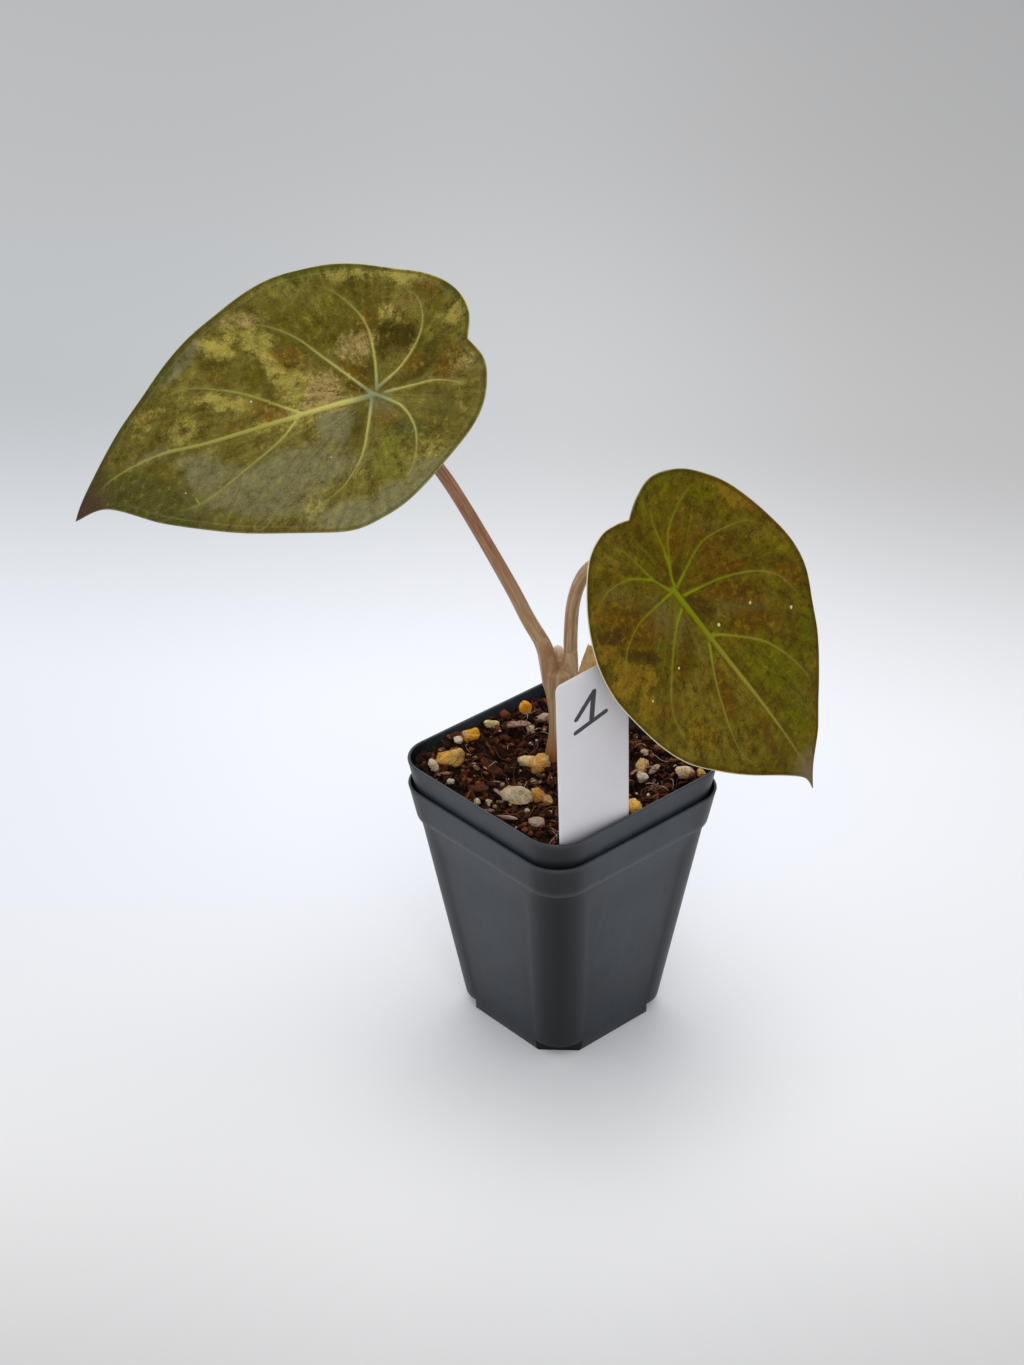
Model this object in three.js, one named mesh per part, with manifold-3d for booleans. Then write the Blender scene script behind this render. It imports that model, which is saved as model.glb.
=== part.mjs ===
// Potted alocasia wentii: a young plant with two peltate leaves in a pair of nested square pots.
// Millimetres, +Z up. The origin is the middle of the outer pot's flat bottom, the pots' sides lie
// along X and Y, and the plant label stands inside the +X side.

import * as THREE from 'three';
import { mergeVertices } from 'three/addons/utils/BufferGeometryUtils.js';
import Module from 'manifold-3d';

const wasm = await Module();
wasm.setup();

// Pots: both are the same thin pot, and the inner one stands higher by the nesting step.
const POT_TOP_WIDTH = 70;
const POT_BOTTOM_WIDTH = 45.2;
const POT_HEIGHT = 78.2;
const POT_BAND_HEIGHT = 10.8;
const POT_BAND_STEP = 0.7;
const POT_WALL = 0.9;
const POT_FLOOR = 1.3;
const POT_EDGE = 0.5;
const POT_TOP_CORNER = 11.1;
const POT_BOTTOM_CORNER = 8.5;
const POT_CORNER_STEPS = 4;
const POT_NOTCH_HEIGHT = 3.6;
const POT_NOTCH_REACH = 36.4;
const NESTING_STEP = 8.34;
const GAP = 0.3;

// Soil: a loose mix that ends below the inner rim.
const SOIL_LEVEL = 81.6;
const SOIL_RISE = 1.6;
const SOIL_CELLS = 16;
const SOIL_BUMP = 0.9;
const SOIL_SEED = 41;
const LOOSE_PUMICE = 20;
const LOOSE_BARK = 40;
const PUMICE_SIZE = [1.8, 3.6];
const BARK_LENGTH = [3, 7];
const BARK_WIDTH = [1.4, 2.8];
const BARK_HEIGHT = [1.2, 2.2];
const BIT_ROUGHNESS = 0.4;
const BIT_TILT = 14;
const BIT_SUNK_SHARE = 0.15;

// Label: a flat plastic tag that leans with the pot's wall.
const LABEL_WIDTH = 24.2;
const LABEL_LENGTH = 95;
const LABEL_ABOVE_RIM = 61.3;
const LABEL_THICKNESS = 0.6;
const LABEL_CORNER = 1.8;
const LABEL_CHAMFER = 3;
const LABEL_FOOT = [31.9, -17.5];
const LABEL_TURN = -5.5;
const LABEL_LEAN = 9.5;
const LABEL_TILT = 8.4;

// Stems: the wrapped stem base parts into two leaf stalks at this height.
const STEM_PART_HEIGHT = 113;
const STEM_BOTTOM = 72;
const STEM_TURN = 48;
const STEM_HOLE_RADIUS = 5.4;
const STEM_HOLE_DEPTH = 30;
const STEM_SIDES = 14;
const STALK_SIDES = 8;
const STRIP_THICKNESS = 0.8;

// Leaves: blade thickness, and the reach of the stalk's knob under the blade's middle.
const BLADE_THICKNESS = 0.8;
const KNOB_HEIGHT = 1.6;
const KNOB_RADIUS = 2.4;
const KNOB_FLARE = 1.2;
const BLADE_RINGS = 6;
const BLADE_RING_CROWDING = 0.9;
const BLADE_SPOKES_A_SIDE = 22;
const BLADE_PUFF = 0.8;
const BLADE_PUFF_REACH = 7;

// Each leaf is drawn in its own plane: the first number runs from the stalk's point towards the
// tip, the second across the blade. Both margins run from the tip to the notch between the lobes.
const LARGE_LEAF = {
  hub: [-34, -38, 204.3],
  heading: -125.9,
  pitch: -18.4,
  roll: -31.4,
  droop: 0,
  curl: 2.3e-5,
  lift: 3.5e-3,
  cup: 3.3e-3,
  twist: -0.8e-3,
  dimple: 1.6,
  dimpleRadius: 6,
  fold: 2.5,
  foldWidth: 7,
  notch: [-28.8, -5],
  tip: [91.5, -4.1],
  leftMargin: [
    [81.2, -1], [66.1, 12.5], [48.1, 25.3], [31.2, 34.7], [16.1, 41.7], [5.3, 40.7],
    [-7.1, 35.6], [-18.2, 27.5], [-27.1, 18.8], [-30.9, 9.7], [-31.1, 1.5],
  ],
  rightMargin: [
    [86.9, -8.9], [70.4, -20.5], [52.2, -30.9], [33.2, -38.1], [17.5, -41.9], [3, -40.5],
    [-11.3, -34.9], [-22.5, -28.6], [-29.5, -20], [-31.5, -11.6],
  ],
  waveHeight: 0.6,
  waveCount: 7,
  wavePhase: 0.8,
  midrib: [[0, 0], [20.8, -0.9], [46.2, -3.7], [61.8, -7.3], [78, -8.2], [88, -5.4]],
  veins: [
    [[0, 0], [9.9, -14.7], [16, -23.7], [23.8, -30.2], [34, -34]],
    [[-1, -1.5], [-3, -9.8], [-3.7, -18.8], [-1.9, -25.7], [2.7, -32.9], [8, -37]],
    [[-2, -2], [-9.3, -5], [-15.8, -10.4], [-19, -16.3], [-19, -22.6], [-15, -28.5]],
    [[-2.9, 0.5], [-12.2, 2.2], [-17, 3], [-22, 6.3], [-25, 11]],
    [[-0.9, 0.6], [-6.2, 7], [-8.2, 15.1], [-7, 22.7], [-4.3, 28.5], [1, 34.5]],
    [[1.1, 0.9], [3.8, 9.4], [7, 17.4], [11.6, 23.4], [16.2, 27.1], [26, 31]],
    [[20.5, -1.5], [32.8, -12.4], [41.2, -17.9], [49.2, -21.7], [60, -23]],
    [[21.2, -0.6], [27.3, 3.9], [36, 7.6], [52.3, 12.8], [63, 11]],
  ],
};

const SMALL_LEAF = {
  hub: [40.9, 3.6, 158.5],
  heading: 49,
  pitch: -55,
  roll: 47,
  droop: 0.7e-3,
  curl: 1e-5,
  lift: 0.4e-3,
  cup: 1.3e-3,
  twist: 0.6e-3,
  dimple: 1.4,
  dimpleRadius: 5,
  fold: 2.2,
  foldWidth: 6,
  notch: [-23.8, 2.2],
  tip: [80.1, -0.2],
  leftMargin: [
    [74, 3.7], [65.8, 11.2], [55.6, 19.6], [46.4, 25.6], [35.4, 31.3], [25.2, 35.3],
    [14.4, 36.5], [4, 35.5], [-6, 32.7], [-14.5, 29], [-22.3, 23.4], [-27.3, 15.3], [-26.8, 7.6],
  ],
  rightMargin: [
    [75, -0.8], [67.7, -6.4], [57.8, -15.3], [48.3, -22.6], [37.5, -29.4], [25.5, -33.8],
    [13, -35.8], [1.9, -35.2], [-9.3, -31.6], [-19, -24.8], [-25.9, -16.3], [-27.8, -7.8],
    [-25.8, -1.6],
  ],
  waveHeight: 0.5,
  waveCount: 6,
  wavePhase: 2.1,
  midrib: [[0, 0], [11.6, -0.8], [28, -0.6], [50.4, 0.5], [69.3, 1.2], [77.5, 0.6]],
  veins: [
    [[0, 0.8], [-4.4, 2.5], [-12.8, 8.9], [-16.5, 19.2], [-16, 26]],
    [[-4.4, 2.5], [-12.1, 5.2], [-18.7, 7.3], [-23.5, 11]],
    [[0.6, 1.4], [-2.8, 12], [-2.1, 18.8], [2.7, 28.9], [8, 33]],
    [[3.7, 1.3], [8.3, 12.1], [15.6, 22.4], [23, 27.5], [34, 29]],
    [[-0.4, -0.9], [-7.5, -3.6], [-18.9, -5], [-23.6, -8.5]],
    [[-7.3, -3.8], [-13.1, -9.5], [-16.1, -17.2], [-15, -23.5]],
    [[0.3, -1.1], [-2.4, -13.7], [-1.5, -20.4], [0.4, -24.6], [6, -31]],
    [[5.6, -2], [8.6, -9], [19.5, -21.6], [27.2, -25.5], [37, -26]],
    [[17.7, -0.1], [22.4, 4.4], [34.1, 12.7], [50.2, 17], [58, 14.5]],
    [[19, -2.4], [31, -9], [48.7, -14.1], [59, -11.5]],
  ],
};

// Ribs: width and height at the stalk's end, the share of both that is left at the far end, and
// the section's corners as shares of the width and the height.
const FLAT_TOP = [[-0.5, 0], [-0.2, 1], [0.2, 1], [0.5, 0]];
const SHARP_TOP = [[-0.5, 0], [0, 1], [0.5, 0]];
const MIDRIB = { width: 2.6, height: 0.7, underHeight: 1.3, taper: 0.3, corners: FLAT_TOP };
const SIDE_RIB = { width: 1.8, height: 0.6, underHeight: 1, taper: 0.35, corners: SHARP_TOP };
const NET_RIB = { width: 1.1, height: 0.5, taper: 0.6, corners: SHARP_TOP };
const RIB_ROOT = 0.45;
const MIDRIB_STEPS = 9;
const SIDE_RIB_STEPS = 5;
const NET_SPACING = 18;
const NET_LENGTH = 8.5;
const NET_ANGLE = 58;
const NET_BEND = 20;
const NET_FIRST_ON_MIDRIB = 40;
const NET_END_CLEARANCE = 4;
const NET_OUTERMOST_SHARE = 0.92;

function radians(degrees) {
  return THREE.MathUtils.degToRad(degrees);
}

function smooth(x) {
  const k = Math.min(Math.max(x, 0), 1);
  return k * k * (3 - 2 * k);
}

function seededRandom(seed) {
  let state = seed >>> 0;
  return () => {
    state = (state + 0x6d2b79f5) >>> 0;
    let v = Math.imul(state ^ (state >>> 15), state | 1);
    v ^= v + Math.imul(v ^ (v >>> 7), v | 61);
    return ((v ^ (v >>> 14)) >>> 0) / 4294967296;
  };
}

// A closed skin over a row of rings with the same number of points, with a flat fan at both ends.
function skin(rings) {
  const count = rings[0].length;
  const points = rings.flat();
  const faces = [];
  for (let r = 0; r + 1 < rings.length; r += 1) {
    for (let i = 0; i < count; i += 1) {
      const a = r * count + i;
      const b = r * count + ((i + 1) % count);
      faces.push(a, b, b + count, a, b + count, a + count);
    }
  }
  [0, rings.length - 1].forEach((r) => {
    const middle = points.length;
    const centre = new THREE.Vector3();
    rings[r].forEach((p) => centre.addScaledVector(p, 1 / count));
    points.push(centre);
    for (let i = 0; i < count; i += 1) {
      const a = r * count + i;
      const b = r * count + ((i + 1) % count);
      faces.push(...(r === 0 ? [middle, b, a] : [middle, a, b]));
    }
  });
  return outwardGeometry(points, faces);
}

// A geometry from shared points and triangles, turned so that its faces point out.
function outwardGeometry(points, faces) {
  let volume = 0;
  const across = new THREE.Vector3();
  for (let i = 0; i < faces.length; i += 3) {
    across.crossVectors(points[faces[i + 1]], points[faces[i + 2]]);
    volume += points[faces[i]].dot(across);
  }
  if (volume < 0) {
    for (let i = 0; i < faces.length; i += 3) {
      [faces[i + 1], faces[i + 2]] = [faces[i + 2], faces[i + 1]];
    }
  }
  const numbers = points.flatMap((p) => p.toArray());
  const geometry = new THREE.BufferGeometry();
  geometry.setAttribute('position', new THREE.Float32BufferAttribute(numbers, 3));
  geometry.setIndex(faces);
  return geometry;
}

function solidFrom(source, matrix) {
  let geometry = source.clone();
  if (matrix) geometry.applyMatrix4(matrix);
  geometry.deleteAttribute('normal');
  geometry.deleteAttribute('uv');
  geometry = mergeVertices(geometry);
  const vertProperties = new Float32Array(geometry.attributes.position.array);
  const triVerts = new Uint32Array(geometry.index.array);
  return new wasm.Manifold(new wasm.Mesh({ numProp: 3, vertProperties, triVerts }));
}

function geometryFrom(solid) {
  const mesh = solid.getMesh();
  const geometry = new THREE.BufferGeometry();
  geometry.setAttribute('position', new THREE.BufferAttribute(new Float32Array(mesh.vertProperties), 3));
  geometry.setIndex(new THREE.BufferAttribute(new Uint32Array(mesh.triVerts), 1));
  return geometry;
}

function roundedSquare(halfWidth, corner, z) {
  const ring = [];
  for (let quarter = 0; quarter < 4; quarter += 1) {
    for (let i = 0; i <= POT_CORNER_STEPS; i += 1) {
      const angle = (quarter + i / POT_CORNER_STEPS) * (Math.PI / 2);
      const sideX = quarter === 0 || quarter === 3 ? 1 : -1;
      const sideY = quarter < 2 ? 1 : -1;
      ring.push(new THREE.Vector3(
        sideX * (halfWidth - corner) + corner * Math.cos(angle),
        sideY * (halfWidth - corner) + corner * Math.sin(angle),
        z,
      ));
    }
  }
  return ring;
}

// Half width and corner radius of a pot's outside at a height above its own bottom.
function potSection(z) {
  const bandFoot = POT_HEIGHT - POT_BAND_HEIGHT;
  const bottomHalf = POT_BOTTOM_WIDTH / 2;
  const straight = bottomHalf + (POT_TOP_WIDTH / 2 - bottomHalf) * (z / POT_HEIGHT);
  const corner = POT_BOTTOM_CORNER + (POT_TOP_CORNER - POT_BOTTOM_CORNER) * (z / POT_HEIGHT);
  const stepIn = z < bandFoot ? POT_BAND_STEP * (z / bandFoot) : 0;
  return { half: straight - stepIn, corner };
}

function potRing(z, inset, height = z) {
  const { half, corner } = potSection(z);
  return roundedSquare(half - inset, corner - inset, height);
}

function pot() {
  const bandFoot = POT_HEIGHT - POT_BAND_HEIGHT;
  const justBelow = bandFoot - 1e-6;
  const rings = [
    potRing(POT_EDGE, POT_EDGE, 0),
    potRing(POT_EDGE, 0),
    potRing(justBelow, 0, bandFoot - POT_EDGE),
    potRing(bandFoot, 0),
    potRing(POT_HEIGHT, 0, POT_HEIGHT - POT_EDGE),
    potRing(POT_HEIGHT, POT_EDGE / 2),
    potRing(POT_HEIGHT, POT_WALL),
    potRing(bandFoot, POT_WALL, bandFoot - POT_EDGE),
    potRing(justBelow, POT_WALL, bandFoot - POT_EDGE - POT_WALL),
    potRing(POT_FLOOR, POT_WALL),
  ];
  const cutter = new THREE.Shape();
  cutter.moveTo(POT_NOTCH_REACH, 0);
  cutter.lineTo(POT_TOP_WIDTH, 0);
  cutter.lineTo(POT_TOP_WIDTH, POT_TOP_WIDTH);
  cutter.lineTo(0, POT_TOP_WIDTH);
  cutter.lineTo(0, POT_NOTCH_REACH);
  cutter.closePath();
  const block = new THREE.ExtrudeGeometry(cutter, { depth: POT_NOTCH_HEIGHT + 1, bevelEnabled: false });
  let body = solidFrom(skin(rings));
  for (let quarter = 0; quarter < 4; quarter += 1) {
    const place = new THREE.Matrix4().makeRotationZ((quarter * Math.PI) / 2);
    place.setPosition(0, 0, -1);
    body = body.subtract(solidFrom(block, place));
  }
  return geometryFrom(body);
}

// Blunt bits in the soil: x, y, length, width, height, turn in degrees, height of the middle.
const PLACED_PUMICE = [
  [2.1, -19.6, 9.6, 6.4, 5, 40, 0.6], [-25.1, -22, 10, 5.4, 5, 75, 0.8],
  [25.5, 24.8, 5.6, 4.6, 4.4, 20, 0.8], [-9.7, -5.4, 4.8, 4.2, 4, 10, 0.7],
  [-6.2, -3, 5.4, 4.8, 4.4, 60, 0.7], [5.8, -14.9, 4.6, 4, 3.6, 0, 0.4],
  [-31, -7.2, 4.9, 4.2, 4, 30, 0.6], [-31, 14.1, 4.2, 3.8, 3.6, 0, 0.8],
  [-30.7, -12.9, 3.6, 3.2, 3, 0, 0.5], [10, 23.8, 4.2, 4, 4, 0, 0.6],
  [16.1, 17, 6.4, 5, 4.4, 120, 0.6], [29.1, 1.2, 4.4, 4, 3.8, 0, 0.6],
  [26, 13.8, 6.2, 4.6, 3.6, 80, 0.4], [28.6, 28.2, 2.8, 2.4, 2.4, 0, 0.6],
  [-32, 1.1, 3.4, 3, 2.8, 0, 0.5],
];
const PLACED_BARK = [
  [15.6, -23.8, 6.2, 4.6, 2.6, 35, 0.8], [-27.1, 8.9, 4.6, 2.6, 1.6, 70, 0.7],
  [-14, -14, 7.5, 3.2, 1.8, 20, 0.5], [8, 8, 8, 3.4, 2, 110, 0.5],
  [-18, 18, 7, 3.6, 2, 150, 0.6], [-3, 24, 8.5, 3, 2, 35, 0.5],
];

function soilHeight(x, y) {
  const reach = POT_TOP_WIDTH / 2;
  const rise = SOIL_RISE * smooth((-x - y) / (2 * reach));
  const coarse = Math.sin(x * 0.37 + 1.3) * Math.cos(y * 0.41 - 0.6);
  const fine = Math.sin(x * 1.05 - y * 0.62) * Math.sin(y * 0.93 + x * 0.28 + 2);
  return SOIL_LEVEL + rise + SOIL_BUMP * (0.6 * coarse + 0.5 * fine);
}

function groundBlock() {
  const width = POT_TOP_WIDTH;
  const depth = SOIL_LEVEL - NESTING_STEP;
  const block = new THREE.BoxGeometry(width, width, depth, SOIL_CELLS, SOIL_CELLS, 1);
  block.translate(0, 0, SOIL_LEVEL - depth / 2);
  const position = block.attributes.position;
  for (let i = 0; i < position.count; i += 1) {
    if (position.getZ(i) > SOIL_LEVEL - 1) {
      position.setZ(i, soilHeight(position.getX(i), position.getY(i)));
    }
  }
  return solidFrom(block);
}

// A blunt bit of the mix, made uneven, tilted a little and sunk into the ground where it lies.
function chunk(base, [x, y, length, width, height, turn, above], random, roughness) {
  const geometry = mergeVertices(stripped(base.clone()));
  const position = geometry.attributes.position;
  for (let i = 0; i < position.count; i += 1) {
    const swell = 1 + roughness * (random() - 0.5);
    position.setXYZ(i, position.getX(i) * swell, position.getY(i) * swell, position.getZ(i) * swell);
  }
  const tilt = () => 2 * radians(BIT_TILT) * (random() - 0.5);
  const place = new THREE.Matrix4().makeRotationFromEuler(new THREE.Euler(tilt(), tilt(), radians(turn)));
  place.scale(new THREE.Vector3(length / 2, width / 2, height / 2));
  place.setPosition(x, y, soilHeight(x, y) + above - height * BIT_SUNK_SHARE);
  return solidFrom(geometry, place);
}

function stripped(geometry) {
  geometry.deleteAttribute('normal');
  geometry.deleteAttribute('uv');
  return geometry;
}

// Soil: coir and bark crumbs with pumice, in one body that fills the inner pot.
function soil() {
  const random = seededRandom(SOIL_SEED);
  const stone = new THREE.IcosahedronGeometry(1, 0);
  const flake = new THREE.BoxGeometry(1.6, 1.6, 1.6);
  const chunks = [];
  PLACED_PUMICE.forEach((bit) => chunks.push(chunk(stone, bit, random, BIT_ROUGHNESS)));
  PLACED_BARK.forEach((bit) => chunks.push(chunk(flake, bit, random, BIT_ROUGHNESS)));
  const between = ([low, high]) => low + (high - low) * random();
  const reach = POT_TOP_WIDTH / 2 - 3;
  const across = [-reach, reach];
  for (let i = 0; i < LOOSE_PUMICE; i += 1) {
    const size = between(PUMICE_SIZE);
    const bit = [between(across), between(across), size, size * 0.85, size * 0.85, between([0, 180]), 0.3];
    chunks.push(chunk(stone, bit, random, BIT_ROUGHNESS));
  }
  for (let i = 0; i < LOOSE_BARK; i += 1) {
    const sizes = [between(BARK_LENGTH), between(BARK_WIDTH), between(BARK_HEIGHT)];
    const bit = [between(across), between(across), ...sizes, between([0, 180]), 0.3];
    chunks.push(chunk(flake, bit, random, BIT_ROUGHNESS));
  }
  const inner = POT_WALL + GAP;
  const bandInside = POT_HEIGHT - POT_BAND_HEIGHT - POT_EDGE - POT_WALL;
  const filled = [POT_FLOOR + GAP, bandInside - GAP, POT_HEIGHT];
  const room = solidFrom(skin(filled.map((z) => potRing(z, inner, z + NESTING_STEP))));
  const heap = wasm.Manifold.union([groundBlock(), ...chunks]).intersect(room);
  return geometryFrom(largest(heap.subtract(stemHole()).subtract(labelSlot()).simplify(0.1)));
}

// The biggest of a solid's separate bodies: a cut can leave a crumb loose.
function largest(solid) {
  const bodies = solid.decompose();
  return bodies.reduce((best, body) => (body.volume() > best.volume() ? body : best));
}

function stemHole() {
  const hole = new THREE.CylinderGeometry(STEM_HOLE_RADIUS, STEM_HOLE_RADIUS, STEM_HOLE_DEPTH, 20);
  hole.rotateX(Math.PI / 2);
  const [x, y] = stemCentre(STEM_BOTTOM + STEM_HOLE_RADIUS);
  hole.translate(x, y, STEM_BOTTOM - GAP + STEM_HOLE_DEPTH / 2);
  return solidFrom(hole);
}

function labelOutline(grow) {
  const half = LABEL_WIDTH / 2 + grow;
  const low = -LABEL_LENGTH - grow;
  const round = LABEL_CORNER + grow;
  const shape = new THREE.Shape();
  shape.moveTo(-half + LABEL_CHAMFER, low);
  shape.lineTo(half - LABEL_CHAMFER, low);
  shape.lineTo(half, low + LABEL_CHAMFER);
  shape.lineTo(half, grow - round);
  shape.absarc(half - round, grow - round, round, 0, Math.PI / 2);
  shape.lineTo(round - half, grow);
  shape.absarc(round - half, grow - round, round, Math.PI / 2, Math.PI);
  shape.lineTo(-half, low + LABEL_CHAMFER);
  shape.closePath();
  return shape;
}

function labelBody(grow) {
  const depth = LABEL_THICKNESS + 2 * grow;
  const options = { depth, bevelEnabled: false, curveSegments: 4 };
  const geometry = new THREE.ExtrudeGeometry(labelOutline(grow), options);
  return geometry.translate(0, LABEL_ABOVE_RIM, -depth / 2);
}

// The label's own axes: X across it, Y up it, Z out of its face towards the pot's side.
function labelPlace() {
  const turn = radians(LABEL_TURN);
  const lean = radians(LABEL_LEAN);
  const tilt = radians(LABEL_TILT);
  const side = new THREE.Vector3(-Math.sin(turn), Math.cos(turn), 0);
  const out = new THREE.Vector3(Math.cos(turn), Math.sin(turn), 0);
  const up = new THREE.Vector3(0, 0, Math.cos(lean)).addScaledVector(out, Math.sin(lean));
  const across = side.clone().multiplyScalar(Math.cos(tilt)).addScaledVector(up, Math.sin(tilt));
  const along = side.clone().multiplyScalar(-Math.sin(tilt)).addScaledVector(up, Math.cos(tilt));
  const face = new THREE.Vector3().crossVectors(across, along);
  const place = new THREE.Matrix4().makeBasis(across, along, face);
  return place.setPosition(LABEL_FOOT[0], LABEL_FOOT[1], POT_HEIGHT + NESTING_STEP);
}

function labelSlot() {
  return solidFrom(labelBody(GAP), labelPlace());
}

// The stem base leans a little as it rises: its middle at a height.
function stemCentre(z) {
  const k = (z - 82) / 30;
  return [-7.1 + 1.9 * k, 5.3 - 1.4 * k];
}

function ellipseRing(centre, z, along, across) {
  const turn = radians(STEM_TURN);
  const ring = [];
  for (let i = 0; i < STEM_SIDES; i += 1) {
    const angle = (i / STEM_SIDES) * 2 * Math.PI;
    const a = along * Math.cos(angle);
    const b = across * Math.sin(angle);
    ring.push(new THREE.Vector3(
      centre[0] + a * Math.cos(turn) - b * Math.sin(turn),
      centre[1] + a * Math.sin(turn) + b * Math.cos(turn),
      z,
    ));
  }
  return ring;
}

// Stem base: the corm's top and the stalks' wrapped sheaths, wider where they part.
function stemBase() {
  const profile = [
    [STEM_BOTTOM, 2.2, 2.2], [74, 3.9, 3.9], [78.5, 4.9, 4.9], [83, 4.3, 4.3], [90, 3.3, 3.4],
    [97, 3.3, 3.4], [103, 4.1, 3.6], [108.5, 5.1, 3.9], [STEM_PART_HEIGHT, 5.7, 4],
  ];
  return skin(profile.map(([z, along, across]) => ellipseRing(stemCentre(z), z, along, across)));
}

// A tapered round stalk along a smooth curve through the points.
function stalk(points, startRadius, endRadius, steps) {
  const stations = points.map((p) => new THREE.Vector3(...p));
  const curve = new THREE.CatmullRomCurve3(stations, false, 'centripetal');
  const frames = curve.computeFrenetFrames(steps, false);
  const rings = [];
  for (let i = 0; i <= steps; i += 1) {
    const centre = curve.getPointAt(i / steps);
    const narrowing = 1 - (1 - i / steps) ** 2;
    const radius = startRadius + (endRadius - startRadius) * narrowing;
    const ring = [];
    for (let j = 0; j < STALK_SIDES; j += 1) {
      const angle = (j / STALK_SIDES) * 2 * Math.PI;
      const point = centre.clone().addScaledVector(frames.normals[i], radius * Math.cos(angle));
      ring.push(point.addScaledVector(frames.binormals[i], radius * Math.sin(angle)));
    }
    rings.push(ring);
  }
  return solidFrom(skin(rings));
}

// Everything on the far side of a plane, as a block that trims a solid to that plane.
function farSide(origin, normal) {
  const size = 60;
  const block = new THREE.BoxGeometry(size, size, size);
  const turn = new THREE.Quaternion().setFromUnitVectors(new THREE.Vector3(0, 0, 1), normal);
  const middle = origin.clone().addScaledVector(normal, size / 2);
  const place = new THREE.Matrix4().compose(middle, turn, new THREE.Vector3(1, 1, 1));
  return solidFrom(block, place);
}

// A leaf stalk stands on the stem base and ends just under its blade's knob.
function leafStalk(leaf, points, startRadius, endRadius, steps) {
  const axes = leafAxes(leaf);
  const hub = new THREE.Vector3(...leaf.hub);
  const under = leaf.dimple + BLADE_THICKNESS + KNOB_HEIGHT + GAP;
  const end = hub.clone().addScaledVector(axes.normal, -leaf.dimple - BLADE_THICKNESS);
  const body = stalk([...points, end.toArray()], startRadius, endRadius, steps);
  const foot = new THREE.Vector3(0, 0, STEM_PART_HEIGHT + GAP);
  const down = new THREE.Vector3(0, 0, -1);
  const top = hub.clone().addScaledVector(axes.normal, -under);
  return geometryFrom(body.subtract(farSide(foot, down)).subtract(farSide(top, axes.normal)));
}

function largeStalk() {
  const points = [
    [-7.1, 2.4, 108], [-7.3, 1.6, 113.2], [-7.9, 0.2, 120.6], [-10.3, -3.6, 130.1],
    [-13.2, -7.9, 141.9], [-20.1, -18.4, 167.8], [-23.5, -23.4, 178.9], [-28.6, -30, 190.5],
  ];
  return leafStalk(LARGE_LEAF, points, 2.4, 1.75, 22);
}

function smallStalk() {
  const points = [
    [-3.1, 6.4, 108], [-3.2, 6.3, 117.5], [-3, 6, 123], [-0.8, 5, 136.3], [2.8, 4.6, 145.5],
    [7.7, 4, 151.8], [14, 4, 156.5], [22, 4, 159.8], [31, 3.9, 159.6],
  ];
  return leafStalk(SMALL_LEAF, points, 2.1, 1.8, 24);
}

// A thin strip whose middle, half width and facing are given at a few heights.
function strip(stations) {
  return skin(stations.map(([x, y, z, halfWidth, facing]) => {
    const turn = radians(facing);
    const wide = new THREE.Vector3(Math.cos(turn), Math.sin(turn), 0);
    const thick = new THREE.Vector3(-Math.sin(turn), Math.cos(turn), 0);
    const corners = [[-1, 0], [-0.6, -1], [0.6, -1], [1, 0], [0.6, 1], [-0.6, 1]];
    return corners.map(([a, b]) => new THREE.Vector3(x, y, z)
      .addScaledVector(wide, a * halfWidth)
      .addScaledVector(thick, (b * STRIP_THICKNESS) / 2));
  }));
}

// New shoot: the pale flat point of the next leaf, behind and between the stalks.
function newShoot() {
  const base = STEM_PART_HEIGHT + GAP;
  return strip([
    [-7.9, 5.7, base, 1.4, STEM_TURN], [-7.8, 5.7, base + 3, 1.5, STEM_TURN],
    [-7.7, 5.6, base + 6, 1.2, STEM_TURN], [-7.6, 5.5, base + 9, 0.4, STEM_TURN],
  ]);
}

// Dried sheath: a papery tan flake that clings to the stem base and flares at its top.
function driedSheath() {
  return strip([
    [-2.9, 8.6, 90, 1.2, 110], [-2.6, 9.3, 97, 2.2, 95], [-2.6, 10.5, 104, 2.6, 70],
    [-1.9, 11.3, 111, 2.7, 55], [-1.3, 12, 117, 2.2, 50], [-1, 12.3, 122, 0.9, 48],
  ]);
}

function leafAxes(leaf) {
  const heading = radians(leaf.heading);
  const pitch = radians(leaf.pitch);
  const roll = radians(leaf.roll);
  const along = new THREE.Vector3(
    Math.cos(heading) * Math.cos(pitch),
    Math.sin(heading) * Math.cos(pitch),
    Math.sin(pitch),
  );
  const level = new THREE.Vector3(-Math.sin(heading), Math.cos(heading), 0);
  const above = new THREE.Vector3().crossVectors(along, level);
  const across = level.multiplyScalar(Math.cos(roll)).addScaledVector(above, Math.sin(roll));
  const normal = new THREE.Vector3().crossVectors(along, across);
  return { along, across, normal };
}

function leafPlace(leaf) {
  const { along, across, normal } = leafAxes(leaf);
  return new THREE.Matrix4().makeBasis(along, across, normal).setPosition(...leaf.hub);
}

function flatCurve(points) {
  return new THREE.SplineCurve(points.map((p) => new THREE.Vector2(...p)));
}

// The margin as a closed row of points, with sharp turns at the tip and at the notch.
function marginPoints(leaf) {
  const left = flatCurve([leaf.tip, ...leaf.leftMargin, leaf.notch]).getPoints(BLADE_SPOKES_A_SIDE);
  const right = flatCurve([leaf.tip, ...leaf.rightMargin, leaf.notch]).getPoints(BLADE_SPOKES_A_SIDE);
  return [...left, ...right.slice(1, -1).reverse()];
}

function distanceToLine(point, line) {
  let best = Infinity;
  for (let i = 0; i + 1 < line.length; i += 1) {
    const span = line[i + 1].clone().sub(line[i]);
    const k = point.clone().sub(line[i]).dot(span) / span.lengthSq();
    const near = line[i].clone().addScaledVector(span, Math.min(Math.max(k, 0), 1));
    best = Math.min(best, near.distanceTo(point));
  }
  return best;
}

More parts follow.
